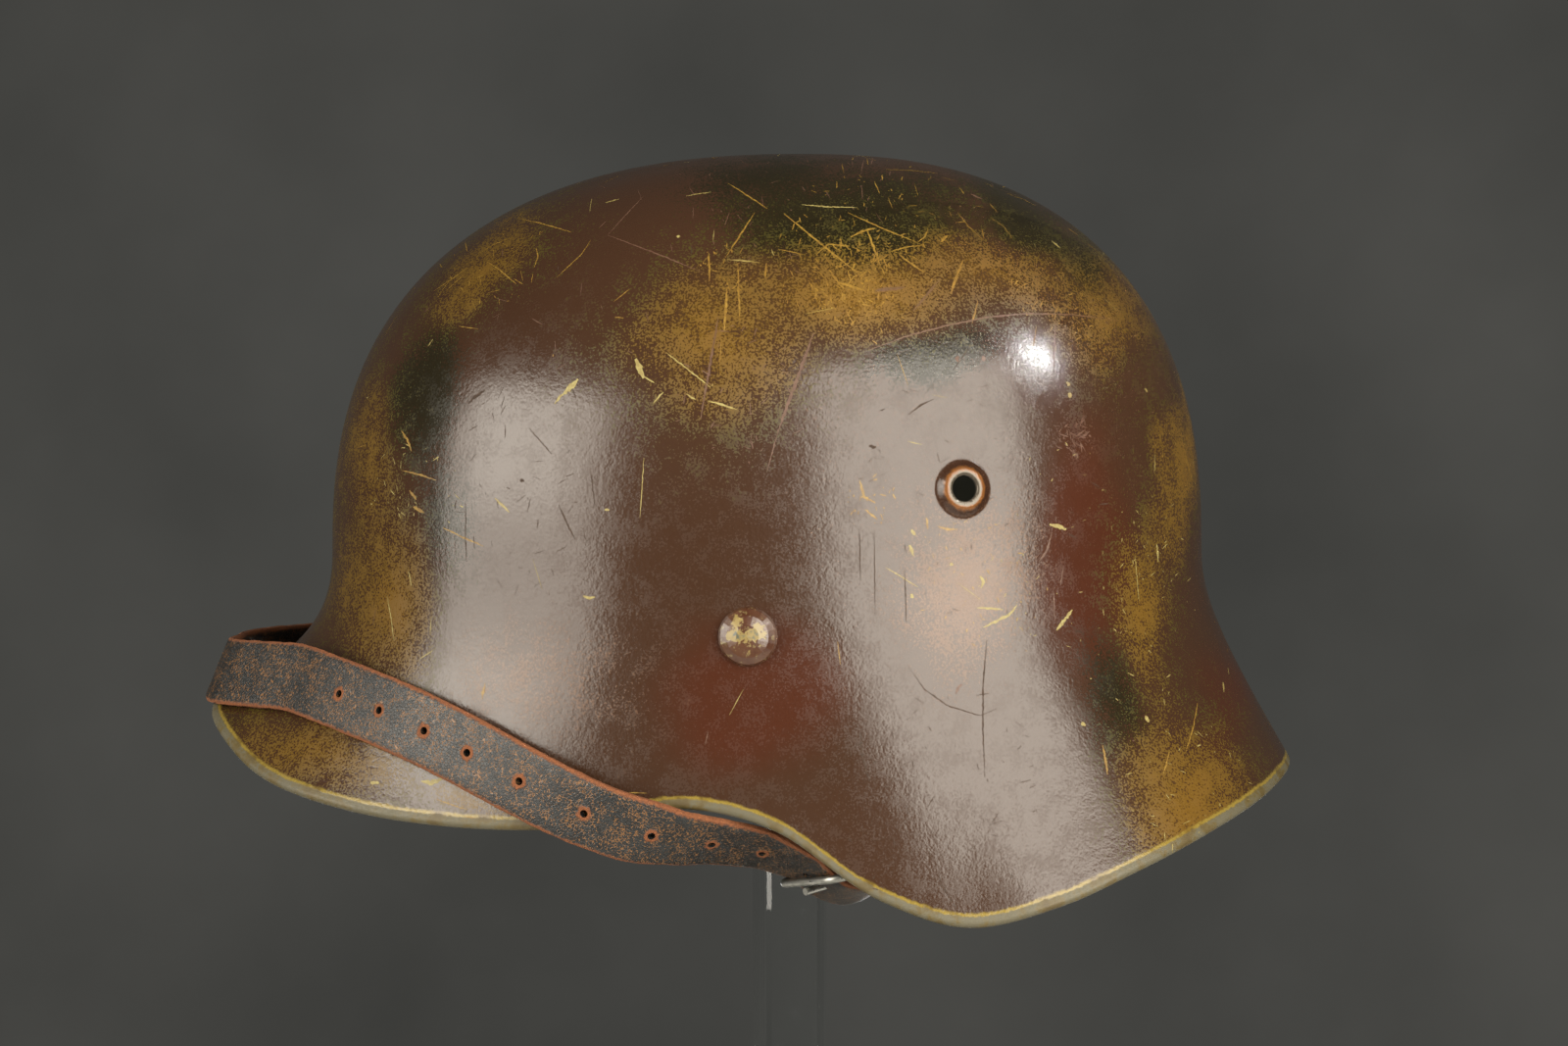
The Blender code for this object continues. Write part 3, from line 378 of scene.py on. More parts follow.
DARK_MARKS = (
    ((478, 412, 484, 405, 495, 398), 3.6),
    ((538, 357, 540, 370, 543, 383), 1.5),
    ((540, 437, 552, 451, 563, 463), 1.4),
    ((570, 515, 578, 533, 587, 550), 1.8),
    ((603, 483, 605, 500, 607, 515), 1.4),
    ((475, 513, 475, 545, 476, 573), 1.2),
    ((531, 489, 535, 491), 4.6),
    ((877, 540, 878, 593), 1.4),
    ((892, 540, 893, 627), 1.1),
    ((923, 580, 925, 637), 1.3),
    ((927, 423, 940, 413, 953, 407), 2),
    ((887, 455, 894, 456), 5),
    ((1007, 653, 1003, 700, 1003, 745, 1005, 793), 1.8),
    ((927, 680, 943, 703, 967, 720, 1000, 730, 1017, 723), 1.3),
    ((878, 747, 880, 772, 887, 797), 2.2),
    ((957, 890, 962, 905, 975, 925), 1.6),
)
# Crowds of small marks: x and y of the middle, reach, number, longest and widest, kind
CROWDS = (
    (870, 289, 42, 170, 10, 2.2, "ochre"),
    (880, 262, 90, 130, 7, 1.6, "ochre"),
    (740, 275, 26, 50, 8, 1.8, "ochre"),
    (500, 258, 60, 60, 12, 1.4, "ochre"),
    (1045, 302, 22, 40, 8, 1.6, "ochre"),
    (1095, 322, 30, 50, 7, 1.8, "ochre"),
    (800, 172, 110, 90, 16, 1.3, "pink"),
    (930, 195, 90, 60, 14, 1.4, "ochre"),
    (890, 510, 26, 34, 7, 2.2, "ochre"),
    (1000, 590, 70, 60, 6, 1.8, "ochre"),
    (1000, 500, 130, 60, 12, 1.2, "dark"),
    (1100, 560, 110, 70, 6, 1.4, "pale"),
    (1098, 447, 20, 44, 12, 2.2, "pink"),
    (760, 400, 70, 40, 12, 1.8, "pink"),
    (540, 500, 110, 60, 14, 1.1, "dark"),
    (425, 500, 50, 34, 9, 1.8, "pale"),
    (960, 820, 120, 60, 14, 1.2, "dark"),
    (1180, 640, 90, 40, 7, 1.6, "pale"),
    (1210, 800, 70, 40, 9, 1.4, "pale"),
    (700, 300, 200, 60, 14, 1.1, "pink"),
)
# For each kind, the two colours that it is mottled with and its roughness
MARK_COLOURS = {
    "ochre": ((0.24, 0.145, 0.022), (0.15, 0.080, 0.012), 0.45),
    "pale": ((0.27, 0.225, 0.075), (0.20, 0.15, 0.045), 0.5),
    "pink": ((0.105, 0.055, 0.034), (0.075, 0.034, 0.020), 0.5),
    "dark": ((0.030, 0.016, 0.009), (0.045, 0.024, 0.013), 0.85),
}
SCATTERED = 900  # small marks over the whole shell
LIFT = 0.00004  # marks lie this far above the paint
MARK_STEP = 2.2  # picture pixels between the points of a mark
MARK_JITTER = 0.22
MARK_WIDTH = 0.92  # share of the width that the tables give
SPRAY_COARSE = 28
SPRAY_FINE = 75
SPRAY_SWAY = 0.0055
SPRAY_LEAN = 0.008
SPRAY_BLEND = 0.036  # the paint of the two sides runs together over this width
PATCH_MERGE = 8  # a smaller number lets patches run into each other more


def unit(vector):
    return vector / np.linalg.norm(vector)


def hermite(before, start, end, after, places, share):
    """Smooth value between start and end, for four neighbours at uneven places."""
    p0, p1, p2, p3 = places
    span = p2 - p1
    slope_start = (end - start) / span * (p1 - p0) + (start - before) / (p1 - p0) * span
    slope_start = slope_start / (p2 - p0) * span
    slope_end = (after - end) / (p3 - p2) * span + (end - start) / span * (p3 - p2)
    slope_end = slope_end / (p3 - p1) * span
    square = share * share
    cube = square * share
    return (
        (2 * cube - 3 * square + 1) * start
        + (cube - 2 * square + share) * slope_start
        + (3 * square - 2 * cube) * end
        + (cube - square) * slope_end
    )


@functools.lru_cache(maxsize=None)
def skirt_row(angle):
    """The shell's section values at any angle, mirrored left to right."""
    angle = abs((angle + 180) % 360 - 180)
    rows = np.array(SKIRT, float)
    before = rows[1:3][::-1] * [-1, 1, 1, 1, 1, 1]
    after = rows[-3:-1][::-1]
    after = after * [-1, 1, 1, 1, 1, 1] + [360, 0, 0, 0, 0, 0]
    rows = np.concatenate([before, rows, after])
    index = int(np.searchsorted(rows[:, 0], angle, "right")) - 1
    four = rows[index - 1 : index + 3]
    share = (angle - four[1, 0]) / (four[2, 0] - four[1, 0])
    return hermite(four[0], four[1], four[2], four[3], four[:, 0], share)[1:]


def waist_radius(angle):
    turn = math.radians(angle)
    along = abs(math.cos(turn)) / (DOME_LENGTH / 2)
    aside = abs(math.sin(turn)) / (DOME_WIDTH / 2)
    return (along**PLAN_POWER + aside**PLAN_POWER) ** (-1 / PLAN_POWER)


def heading(angle):
    turn = math.radians(angle)
    return np.array([math.sin(turn), -math.cos(turn), 0.0])


def dome_point(angle, share):
    turn = share * math.pi / 2
    outward = math.sin(turn) ** (2 / DOME_POWER)
    upward = max(math.cos(turn), 0.0) ** (2 / DOME_POWER)
    apex = np.array([0.0, APEX_SHIFT, 0.0])
    waist = heading(angle) * waist_radius(angle)
    flat = apex + (waist - apex) * outward
    return flat + np.array([0.0, 0.0, WAIST + DOME_HEIGHT * upward])


def skirt_point(angle, share):
    crease_out, crease_drop, rim_out, rim_drop, sharpness = skirt_row(angle)
    front = (1 + math.cos(math.radians(angle))) / 2
    reach = VISOR_REACH * front + NECK_REACH * (1 - front)
    radius = waist_radius(angle)
    waist = np.array([radius, 0.0])
    crease = waist + [crease_out * reach, -crease_drop * SKIRT_DROP]
    rim = waist + [rim_out * reach, -rim_drop * SKIRT_DROP]
    first = waist + (crease - waist) * sharpness
    first[0] = radius
    second = rim + (crease - rim) * sharpness
    rest = 1 - share
    out, down = (
        rest**3 * waist
        + 3 * rest**2 * share * first
        + 3 * rest * share**2 * second
        + share**3 * rim
    )
    return heading(angle) * out + np.array([0.0, 0.0, WAIST + down])


def shell_point(angle, place):
    return dome_point(angle, place) if place < 1 else skirt_point(angle, place - 1)


def shell_normal(angle, place):
    step = 1e-3
    low, high = max(place - step, step), min(place + step, 2.0)
    down = shell_point(angle, high) - shell_point(angle, low)
    round_way = shell_point(angle + 0.1, place) - shell_point(angle - 0.1, place)
    return unit(np.cross(down, round_way))


def place_at_drop(angle, drop):
    low, high = 0.0, 1.0
    for _ in range(30):
        middle = (low + high) / 2
        if WAIST - skirt_point(angle, middle)[2] < drop:
            low = middle
        else:
            high = middle
    return 1 + low


def add_object(name, mesh, material=None):
    obj = bpy.data.objects.new(name, mesh)
    bpy.context.collection.objects.link(obj)
    if material:
        mesh.materials.append(material)
    return obj


def from_shape(name, shape, material=None):
    """An object made of a bmesh, which this uses up."""
    mesh = bpy.data.meshes.new(name)
    shape.to_mesh(mesh)
    shape.free()
    return add_object(name, mesh, material)


def new_object(name, points, faces, material, smooth_angle=40):
    mesh = bpy.data.meshes.new(name)
    mesh.from_pydata([tuple(point) for point in points], [], faces)
    shape = bmesh.new()
    shape.from_mesh(mesh)
    bmesh.ops.recalc_face_normals(shape, faces=shape.faces)
    shape.to_mesh(mesh)
    shape.free()
    mesh.shade_smooth()
    mesh.set_sharp_from_angle(angle=math.radians(smooth_angle))
    return add_object(name, mesh, material)


def as_piece(obj, slot, *nodes):
    """Stands obj in for its CAD nodes, on the one body."""
    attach(obj, "root")
    if nodes:
        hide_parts(*nodes)


def shell_grid():
    """The outside as columns of points from the first ring below the crown to the rim."""
    columns = []
    for step in range(SHELL_COLUMNS):
        angle = 360 * step / SHELL_COLUMNS
        column = [dome_point(angle, row / DOME_ROWS) for row in range(1, DOME_ROWS)]
        column += [skirt_point(angle, row / SKIRT_ROWS) for row in range(SKIRT_ROWS + 1)]
        columns.append(column)
    return np.array(columns)


def grid_normals(grid):
    down = np.gradient(grid, axis=1)
    round_way = np.roll(grid, -1, axis=0) - np.roll(grid, 1, axis=0)
    normals = np.cross(down, round_way)
    return normals / np.linalg.norm(normals, axis=2, keepdims=True)


def own_shift():
    """The solids stand with their box over the origin: how far they moved, from the shell's."""
    low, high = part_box("shell")
    turns = np.linspace(0, 40, 81)
    front = min(skirt_point(turn, 1.0)[1] for turn in turns)
    back = max(skirt_point(180 - turn, 1.0)[1] for turn in turns)
    return np.array([0.0, (low[1] + high[1]) / 2 - (front + back) / 2, 0.0])


SHIFT = own_shift()


def shell_points():
    """The closed shell's points by column, with each point's distance from the rim."""
    outer = shell_grid()
    normals = grid_normals(outer)
    rim, normal = outer[:, -1], normals[:, -1]
    down = outer[:, -1] - outer[:, -2]
    down = down / np.linalg.norm(down, axis=1, keepdims=True)
    bead = []
    for step in range(1, BEAD_STEPS + 1):
        turn = math.pi * step / BEAD_STEPS
        inward = (1 - math.cos(turn)) * BEAD / 2
        bead.append(rim + down * math.sin(turn) * BEAD / 2 - normal * inward)
    bead = np.stack(bead, axis=1)
    from_rim = np.linalg.norm(outer - rim[:, None], axis=2)
    folded = np.clip((BEAD_FOLD + FOLD_STEP - from_rim) / FOLD_STEP, 0, 1)
    wall = WALL + (BEAD - WALL) * folded
    inner = (outer - normals * wall[:, :, None])[:, ::-1][:, 1:]
    within = -from_rim[:, ::-1][:, 1:] - INSIDE
    points = np.concatenate([outer, bead, inner], axis=1)
    distance = np.concatenate([from_rim, np.zeros(bead.shape[:2]), within], axis=1)
    return points, distance


def build_shell(outside, inside):
    points, distance = shell_points()
    rows = points.shape[1]
    flat = list(points.reshape(-1, 3))
    top, under = len(flat), len(flat) + 1
    crown = np.array([0.0, APEX_SHIFT, WAIST + DOME_HEIGHT])
    flat += [crown, crown - [0, 0, WALL]]
    faces, slots = [], []
    first_inside = DOME_ROWS + SKIRT_ROWS + BEAD_STEPS - 1
    for index in range(SHELL_COLUMNS):
        here, there = index * rows, (index + 1) % SHELL_COLUMNS * rows
        faces.append((top, here, there))
        faces.append((under, there + rows - 1, here + rows - 1))
        slots += [0, 1]
        for row in range(rows - 1):
            faces.append((here + row, here + row + 1, there + row + 1, there + row))
            slots.append(int(row >= first_inside))
    body = new_object("helmet_shell", np.array(flat) + SHIFT, faces, outside, 60)
    body.data.materials.append(inside)
    body.data.polygons.foreach_set("material_index", slots)
    write_numbers(body.data, "from_rim", np.concatenate([distance.reshape(-1), [AT_CROWN, -AT_CROWN]]))
    for side in (1, -1):
        raise_vent(body, side)
    for which in PIN_ANGLES:
        cut_hole(body, *pin_seat(which), PIN_SHANK / 2 + SEAT, f"pin_hole_{which}")
    spray(body)
    as_piece(body, "painted_steel", "shell")
    return body


def write_numbers(mesh, name, values):
    """Stores one number for each point of a mesh, for the paint to read by its name."""
    mesh.attributes.new(name, "FLOAT", "POINT").data.foreach_set("value", values)


def camera_frame():
    """The camera's place and its ways to the right, up and back."""
    rise = math.radians(CAMERA_RISE)
    back = np.array([math.cos(rise), 0.0, math.sin(rise)])
    right = np.array([0.0, 1.0, 0.0])
    target = SHIFT + [0.0, AIM_SHIFT, WAIST + AIM_RISE]
    return target + back * CAMERA_DISTANCE, right, np.cross(back, right), back


def picture_places(points):
    """Where points lie in the photograph, in its pixels."""
    eye, right, up, back = camera_frame()
    offset = points - eye
    scale = -PIXELS_PER_METRE * CAMERA_DISTANCE / (offset @ back)
    across = PICTURE_WIDTH / 2 + scale * (offset @ right)
    return across, PICTURE_HEIGHT / 2 - scale * (offset @ up)


def picture_way(across, down):
    """The camera's place and the way from it through a point of the photograph."""
    eye, right, up, back = camera_frame()
    scale = PIXELS_PER_METRE * CAMERA_DISTANCE
    way = right * (across - PICTURE_WIDTH / 2) / scale - up * (down - PICTURE_HEIGHT / 2) / scale
    return Vector(eye), Vector(unit(way - back))


def patch_depth(table, across, down):
    """How deep picture places lie in a table's patches, which run smoothly into each other."""
    total = np.zeros(len(across))
    for x, y, long, tall, turn, depth in table:
        turn = math.radians(turn)
        along = (across - x) * math.cos(turn) - (down - y) * math.sin(turn)
        aside = (across - x) * math.sin(turn) + (down - y) * math.cos(turn)
        reach = np.sqrt((along / long) ** 2 + (aside / tall) ** 2)
        total += np.exp(PATCH_MERGE * depth * (1 - reach))
    return np.log(np.maximum(total, 1e-4)) / PATCH_MERGE


def spray(body):
    """Writes the depth of each colour into the shell's points, for the paint to read."""
    mesh = body.data
    points = np.empty(len(mesh.vertices) * 3)
    mesh.vertices.foreach_get("co", points)
    points = points.reshape(-1, 3)
    loose = np.array([noise.noise_vector(Vector(point) * SPRAY_COARSE) for point in points])
    loose += 0.5 * np.array([noise.noise_vector(Vector(point) * SPRAY_FINE) for point in points])
    moved = points + loose * SPRAY_SWAY
    near = np.clip(0.5 + (points[:, 0] + loose[:, 0] * SPRAY_LEAN) / SPRAY_BLEND, 0, 1)
    # The tan table is painted sheen where the softboxes' reflections fall; the others are sprayed
    # colours
    tables = {"ochre": NEAR_OCHRE, "dark": NEAR_DARK, "red": NEAR_RED, "tan": NEAR_SHEEN_TAN}
    for name, table in tables.items():
        values = near * patch_depth(table, *picture_places(moved))
        values += (1 - near) * patch_depth(table, *picture_places(moved * [-1, -1, 1]))
        write_numbers(mesh, name, values)
    from_vent = np.full(len(points), FAR)
    for side in (1, -1):
        centre, _ = vent_seat(side)
        from_vent = np.minimum(from_vent, np.linalg.norm(points - centre, axis=1))
    write_numbers(mesh, "from_vent", from_vent)


def vent_seat(side):
    outward = (1 - VENT_RISE**DOME_POWER) ** (1 / DOME_POWER)
    place = math.asin(outward ** (DOME_POWER / 2)) * 2 / math.pi
    angle = VENT_ANGLE * side
    return shell_point(angle, place) + SHIFT, shell_normal(angle, place)


def pin_seat(which):
    angle = PIN_ANGLES[which]
    place = place_at_drop(angle, PIN_DROP * SKIRT_DROP)
    return shell_point(angle, place) + SHIFT, shell_normal(angle, place)


def vent_rise(distance):
    """How far the pressed boss stands out of the shell at a distance from its middle."""
    lip = VENT_LIP / 2 - VENT_EDGE
    foot = VENT_BASE / 2
    share = min(max((distance - lip) / (foot - lip), 0.0), 1.0)
    rise = (1 - share) ** 2 * (1 + 2 * share)
    inner = min(max((distance - VENT_HOLE / 2) / VENT_ROUND, 0.0), 1.0)
    return VENT_HEIGHT * rise - VENT_DIP * (1 - inner) ** 2


def raise_vent(body, side):
    """Presses one vent boss out of the shell, on a patch of finer mesh, and cuts its hole."""
    centre, normal = vent_seat(side)
    centre, normal = Vector(centre), Vector(normal)
    shape = bmesh.new()
    shape.from_mesh(body.data)
    for reach in VENT_PATCH:
        edges = {
            edge
            for face in shape.faces
            if (face.calc_center_median() - centre).length < reach
            for edge in face.edges
        }
        bmesh.ops.subdivide_edges(shape, edges=list(edges), cuts=1, use_grid_fill=True)
    layer = shape.verts.layers.float["from_rim"]
    for vert in shape.verts:
        offset = vert.co - centre
        if offset.length > VENT_REACH:
            continue
        across = (offset - normal * offset.dot(normal)).length
        vert.co += normal * vent_rise(across)
        vert[layer] = FAR if vert[layer] > 0 else -FAR
    shape.to_mesh(body.data)
    shape.free()
    body.data.shade_smooth()
    cut_hole(body, centre, normal, VENT_HOLE / 2, f"vent_hole_{side}")


def axes_from(direction):
    return Vector(direction).to_track_quat("Z", "Y").to_matrix().to_4x4()


def cut_hole(body, centre, direction, radius, name):
    shape = bmesh.new()
    bmesh.ops.create_cone(
        shape,
        cap_ends=True,
        segments=ROUND_SIDES,
        radius1=radius,
        radius2=radius,
        depth=12 * WALL,
        matrix=Matrix.Translation(Vector(centre)) @ axes_from(direction),
    )
    apply_boolean(body, from_shape(name, shape))


def apply_boolean(body, cutter):
    modifier = body.modifiers.new("cut", "BOOLEAN")
    modifier.object = cutter
    modifier.operation = "DIFFERENCE"
    modifier.solver = "EXACT"
    graph = bpy.context.evaluated_depsgraph_get()
    mesh = bpy.data.meshes.new_from_object(body.evaluated_get(graph))
    body.modifiers.clear()
    body.data = mesh
    bpy.data.objects.remove(cutter)


def ring_mesh(name, rings, material, closed):
    """Faces between rings of equally many points, with flat ends unless closed."""
    sides = len(rings[0])
    points = [point for ring in rings for point in ring]
    shift = 0
    if closed:
        gaps = [
            sum(np.linalg.norm(rings[-1][(s + k) % sides] - rings[0][s]) for s in range(sides))
            for k in range(sides)
        ]
        shift = int(np.argmin(gaps))
    faces = []
    for index in range(len(rings) - 1 + int(closed)):
        last = index == len(rings) - 1
        here, there = index * sides, (index + 1) % len(rings) * sides
        for side in range(sides):
            after = (side + 1) % sides
            first = (side + shift) % sides if last else side
            second = (after + shift) % sides if last else after
            faces.append((here + first, here + second, there + after, there + side))
    if not closed:
        faces.append(tuple(range(sides))[::-1])
        faces.append(tuple(len(points) - sides + side for side in range(sides)))
    return new_object(name, [np.array(point) + SHIFT for point in points], faces, material)


def wire(name, centres, radius, material, closed):
    count = len(centres)
    rings = []
    previous = None
    for index, centre in enumerate(centres):
        ahead = centres[(index + 1) % count] if closed or index < count - 1 else centre
        behind = centres[index - 1] if closed or index > 0 else centre
        along = unit(ahead - behind)
        if previous is None:
            previous = unit(np.cross(along, np.array([0.31, 0.57, 0.76])))
        first = unit(previous - along * np.dot(previous, along))
        second = np.cross(along, first)
        previous = first
        ring = []
        for side in range(WIRE_SIDES):
            turn = 2 * math.pi * side / WIRE_SIDES
            ring.append(centre + radius * (first * math.cos(turn) + second * math.sin(turn)))
        rings.append(ring)
    return ring_mesh(name, rings, material, closed)


def wire_loop(name, middle, ways, size, corner, radius, material):
    forward, across = ways
    long, wide = size[0] / 2 - corner, size[1] / 2 - corner
    centres = []
    for quarter, (fore, aside) in enumerate(((1, 1), (-1, 1), (-1, -1), (1, -1))):
        heart = middle + forward * fore * long + across * aside * wide
        for step in range(9):
            turn = math.radians(90 * quarter + 90 * step / 8)
            centres.append(heart + corner * (forward * math.cos(turn) + across * math.sin(turn)))
    return wire(name, centres, radius, material, closed=True)


def strap_section(row, mirror=1):
    """Middle of the strap at one row of its table, and the way its upper edge leans."""
    angle, stand_off, drop, lean = row
    depth = drop * SKIRT_DROP
    turn = math.radians(lean)
    radius = shell_radius(angle, depth) + stand_off * STRAP_WIDTH
    if lean < WRAP_LEAN:
        widths = [share * STRAP_WIDTH for share in (-0.5, -0.25, 0.0, 0.25, 0.5)]
        radius = stand_off * STRAP_WIDTH + SEAT + STRAP_THICKNESS / 2 / math.cos(turn)
        radius += max(
            shell_radius(angle, depth - wide * math.cos(turn)) - wide * math.sin(turn)
            for wide in widths
        )
    point = heading(angle) * radius
    point[2] = WAIST - depth
    tip = heading(angle) * math.sin(turn)
    tip[2] = math.cos(turn)
    return point * [mirror, 1, 1], tip * [mirror, 1, 1]


def shell_radius(angle, depth):
    point = shell_point(angle, place_at_drop(angle, depth))
    return float(np.hypot(point[0], point[1]))


def smooth_way(points, per_span):
    points = [np.asarray(point) for point in points]
    ends = [2 * points[0] - points[1]] + points + [2 * points[-1] - points[-2]]
    gaps = [np.linalg.norm(b[:3] - a[:3]) ** 0.5 for a, b in zip(ends, ends[1:])]
    knots = np.concatenate([[0], np.cumsum(gaps)])
    way = []
    for index in range(1, len(ends) - 2):
        for step in range(per_span):
            four = ends[index - 1 : index + 3]
            way.append(hermite(*four, knots[index - 1 : index + 3], step / per_span))
    way.append(points[-1])
    return way


@functools.lru_cache(maxsize=None)
def strap_way(side_rows):
    """Each step is a point, the way forward, the way to the upper edge, and the way out."""
    rows = [row for row in STRAP_SHARED + side_rows if row[0] > 0]
    before = [strap_section(row, -1) for row in rows[:1]]
    sections = before + [strap_section(row) for row in STRAP_SHARED[:1] + tuple(rows)]
    packed = [np.concatenate(section) for section in sections]
    way = smooth_way(packed, STRAP_STEPS)[STRAP_STEPS:]
    steps = []
    for index, values in enumerate(way):
        ahead = way[min(index + 1, len(way) - 1)][:3]
        behind = way[index - 1][:3] if index else ahead * [-1, 1, 1]
        forward = unit(ahead - behind)
        tip = values[3:]
        across = unit(tip - forward * np.dot(tip, forward))
        steps.append((values[:3], forward, across, np.cross(forward, across)))
    return steps


def mirrored(step):
    mirror = np.array([-1, 1, 1])
    place, forward, across, outward = step
    return place * mirror, -forward * mirror, across * mirror, outward * mirror


def turned_round(step, turns):
    """Steps that follow a bar round, at the given degrees from the way out of one step."""
    place, forward, across, outward = step
    radius = BAIL_WIRE / 2 + SEAT + STRAP_THICKNESS / 2
    steps = []
    for turn in turns:
        angle = math.radians(turn)
        out = outward * math.cos(angle) + forward * math.sin(angle)
        ahead = forward * math.cos(angle) - outward * math.sin(angle)
        steps.append((place + out * radius, ahead, across, out))
    return steps


def strap_run(side_rows):
    """The middle line of one side, drawn so that it meets its bail's bar from outside."""
    steps = strap_way(side_rows)
    radius = BAIL_WIRE / 2 + SEAT + STRAP_THICKNESS / 2
    lift = []
    travelled = 0.0
    for index in range(len(steps) - 1, -1, -1):
        lift.append(radius * max(0.0, 1 - travelled / (2 * STRAP_WIDTH)) ** 2)
        if index:
            travelled += float(np.linalg.norm(steps[index][0] - steps[index - 1][0]))
    return [
        (place + outward * rise, forward, across, outward)
        for (place, forward, across, outward), rise in zip(steps, lift[::-1])
    ]


def return_tail(run):
    least = STRAP_THICKNESS + SEAT
    most = BAIL_WIRE + 2 * SEAT + STRAP_THICKNESS
    steps = []
    travelled = 0.0
    for index in range(len(run) - 1, 0, -1):
        travelled += float(np.linalg.norm(run[index][0] - run[index - 1][0]))
        place, forward, across, outward = run[index - 1]
        gap = least + (most - least) * max(0.0, 1 - travelled / STRAP_END_DEPTH) ** 2
        steps.append((place - outward * gap, -forward, across, -outward))
        if travelled > STRAP_END_DEPTH:
            break
    return steps


def way_length(steps):
    return sum(float(np.linalg.norm(b[0] - a[0])) for a, b in zip(steps, steps[1:]))


def step_at(steps, distance):
    travelled = 0.0
    for first, second in zip(steps, steps[1:]):
        length = float(np.linalg.norm(second[0] - first[0]))
        if travelled + length >= distance:
            share = (distance - travelled) / length
            place, forward, across, _ = (a + (b - a) * share for a, b in zip(first, second))
            forward = unit(forward)
            across = unit(across - forward * np.dot(across, forward))
            return place, forward, across, np.cross(forward, across)
        travelled += length
    return steps[-1]


def leather_strap(name, steps, width, material, closed=False, start=0.0):
    """A ribbon with worn, uneven edges. Its UV map holds metres along and across the strap."""
    profile = list(STRAP_PROFILE) + [(-wide, -high) for wide, high in STRAP_PROFILE]
    rings, along = [], []
    travelled = start
    for index, (place, _, across, outward) in enumerate(steps):
        if index:
            travelled += float(np.linalg.norm(place - steps[index - 1][0]))
        ring = []
        for wide, high in profile:
            spot = Vector((travelled, wide * 0.5, high * 0.5))
            fray = (noise.noise(spot * 900) + noise.noise(spot * 260)) * FRAY
            point = place + across * wide * (width / 2 + fray * abs(wide) ** 6)
            half = STRAP_THICKNESS / 2 - FRAY / 2 * noise.noise(spot * 420)
            ring.append(point + outward * high * half)
        rings.append(ring)
        along.append(travelled)
    strap = ring_mesh(name, rings, material, closed)
    mesh = strap.data
    layer = mesh.uv_layers.new(name="flat")
    sides = len(profile)
    last = len(rings) - 1
    for polygon in mesh.polygons:
        indices = [mesh.loops[loop].vertex_index for loop in polygon.loop_indices]
        wraps = closed and {0, last} <= {index // sides for index in indices}
        for loop, index in zip(polygon.loop_indices, indices):
            ring, side = divmod(index, sides)
            far = along[ring] + (along[-1] if wraps and ring == 0 else 0.0)
            layer.data[loop].uv = (far, profile[side][0] * width / 2)
    return strap


def build_chin_strap(material):
    left = strap_way(STRAP_LEFT)
    right = strap_run(STRAP_RIGHT)
    loop = turned_round(strap_way(STRAP_RIGHT)[-1], range(0, 181, HOOK_STEP))
    right_side = right[:-1] + loop + return_tail(right)
    back = [mirrored(step) for step in right_side[1:][::-1]]
    start = -way_length(back + left[:1])
    strap = leather_strap("chin_strap_leather", back + left, STRAP_WIDTH, material, start=start)
    length = way_length(left)
    for index, share in enumerate(STRAP_HOLES + (1 - BUCKLE_BACK / length - PRONG_HOLE,)):
        place, _, _, outward = step_at(left, share * length)
        cut_hole(strap, place + SHIFT, outward, STRAP_HOLE / 2, f"strap_hole_{index}")
    as_piece(strap, "strap_leather", "chin_strap")


def bail_frame(side):
    turn = math.radians(BAIL_SET_BACK["left" if side > 0 else "right"])
    about = np.array(Matrix.Rotation(turn, 3, "Z"))
    mirror = np.array([side, 1, 1])
    place, forward, across, _ = strap_way(STRAP_RIGHT)[-1]
    return (about @ place) * mirror, (about @ forward) * mirror, (about @ across) * mirror


def build_bail(side, name, material):
    place, upward, along = bail_frame(side)
    middle = place + upward * BAIL_LENGTH / 2
    size = (BAIL_LENGTH, STRAP_WIDTH + 4 * SEAT + 2 * BAIL_CORNER)
    ways = (upward, along)
    bail = wire_loop(f"bail_wire_{name}", middle, ways, size, BAIL_CORNER, BAIL_WIRE / 2, material)
    as_piece(bail, "buckle_steel", f"strap_bail_{name}")


def buckle_bars():
    """Middle of the buckle's outer bar and inner bar, and the ways across and out of it."""
    steps = strap_way(STRAP_LEFT)
    length = way_length(steps)
    place, _, across, outward = step_at(steps, length - BUCKLE_BACK)
    far = step_at(steps, length - BUCKLE_BACK + BUCKLE_LENGTH)
    over = STRAP_THICKNESS / 2 + SEAT + BUCKLE_WIRE / 2
    outer = place + outward * over
    way = far[0] - far[3] * (over + STRAP_THICKNESS + BUCKLE_SLACK) - outer
    way = way - across * np.dot(way, across)
    return outer, outer + way, across, np.cross(unit(way), across)


def build_buckle(material):
    outer, inner, across, outward = buckle_bars()
    length = float(np.linalg.norm(inner - outer))
    size = (length, STRAP_WIDTH + 2 * BUCKLE_SIDE_ROOM + BUCKLE_WIRE)
    ways = ((inner - outer) / length, across)
    middle = (outer + inner) / 2
    loop = wire_loop("buckle_wire", middle, ways, size, BUCKLE_CORNER, BUCKLE_WIRE / 2, material)
    as_piece(loop, "buckle_steel", "buckle_frame")
    back = unit(outer - inner)
    rise = BUCKLE_WIRE / 2 + SEAT + PRONG_WIRE / 2
    centres = []
    for turn in range(-210, 1, HOOK_STEP):
        angle = math.radians(turn)
        centres.append(inner + rise * (outward * math.cos(angle) + back * math.sin(angle)))
    for share in (0.25, 0.5, 0.75, 1.0):
        centres.append(inner + outward * rise + (outer - inner) * share)
    centres.append(outer + outward * rise + back * BUCKLE_WIRE * 0.6)
    prong = wire("prong_wire", centres, PRONG_WIRE / 2, material, closed=False)
    as_piece(prong, "buckle_steel", "buckle_prong")


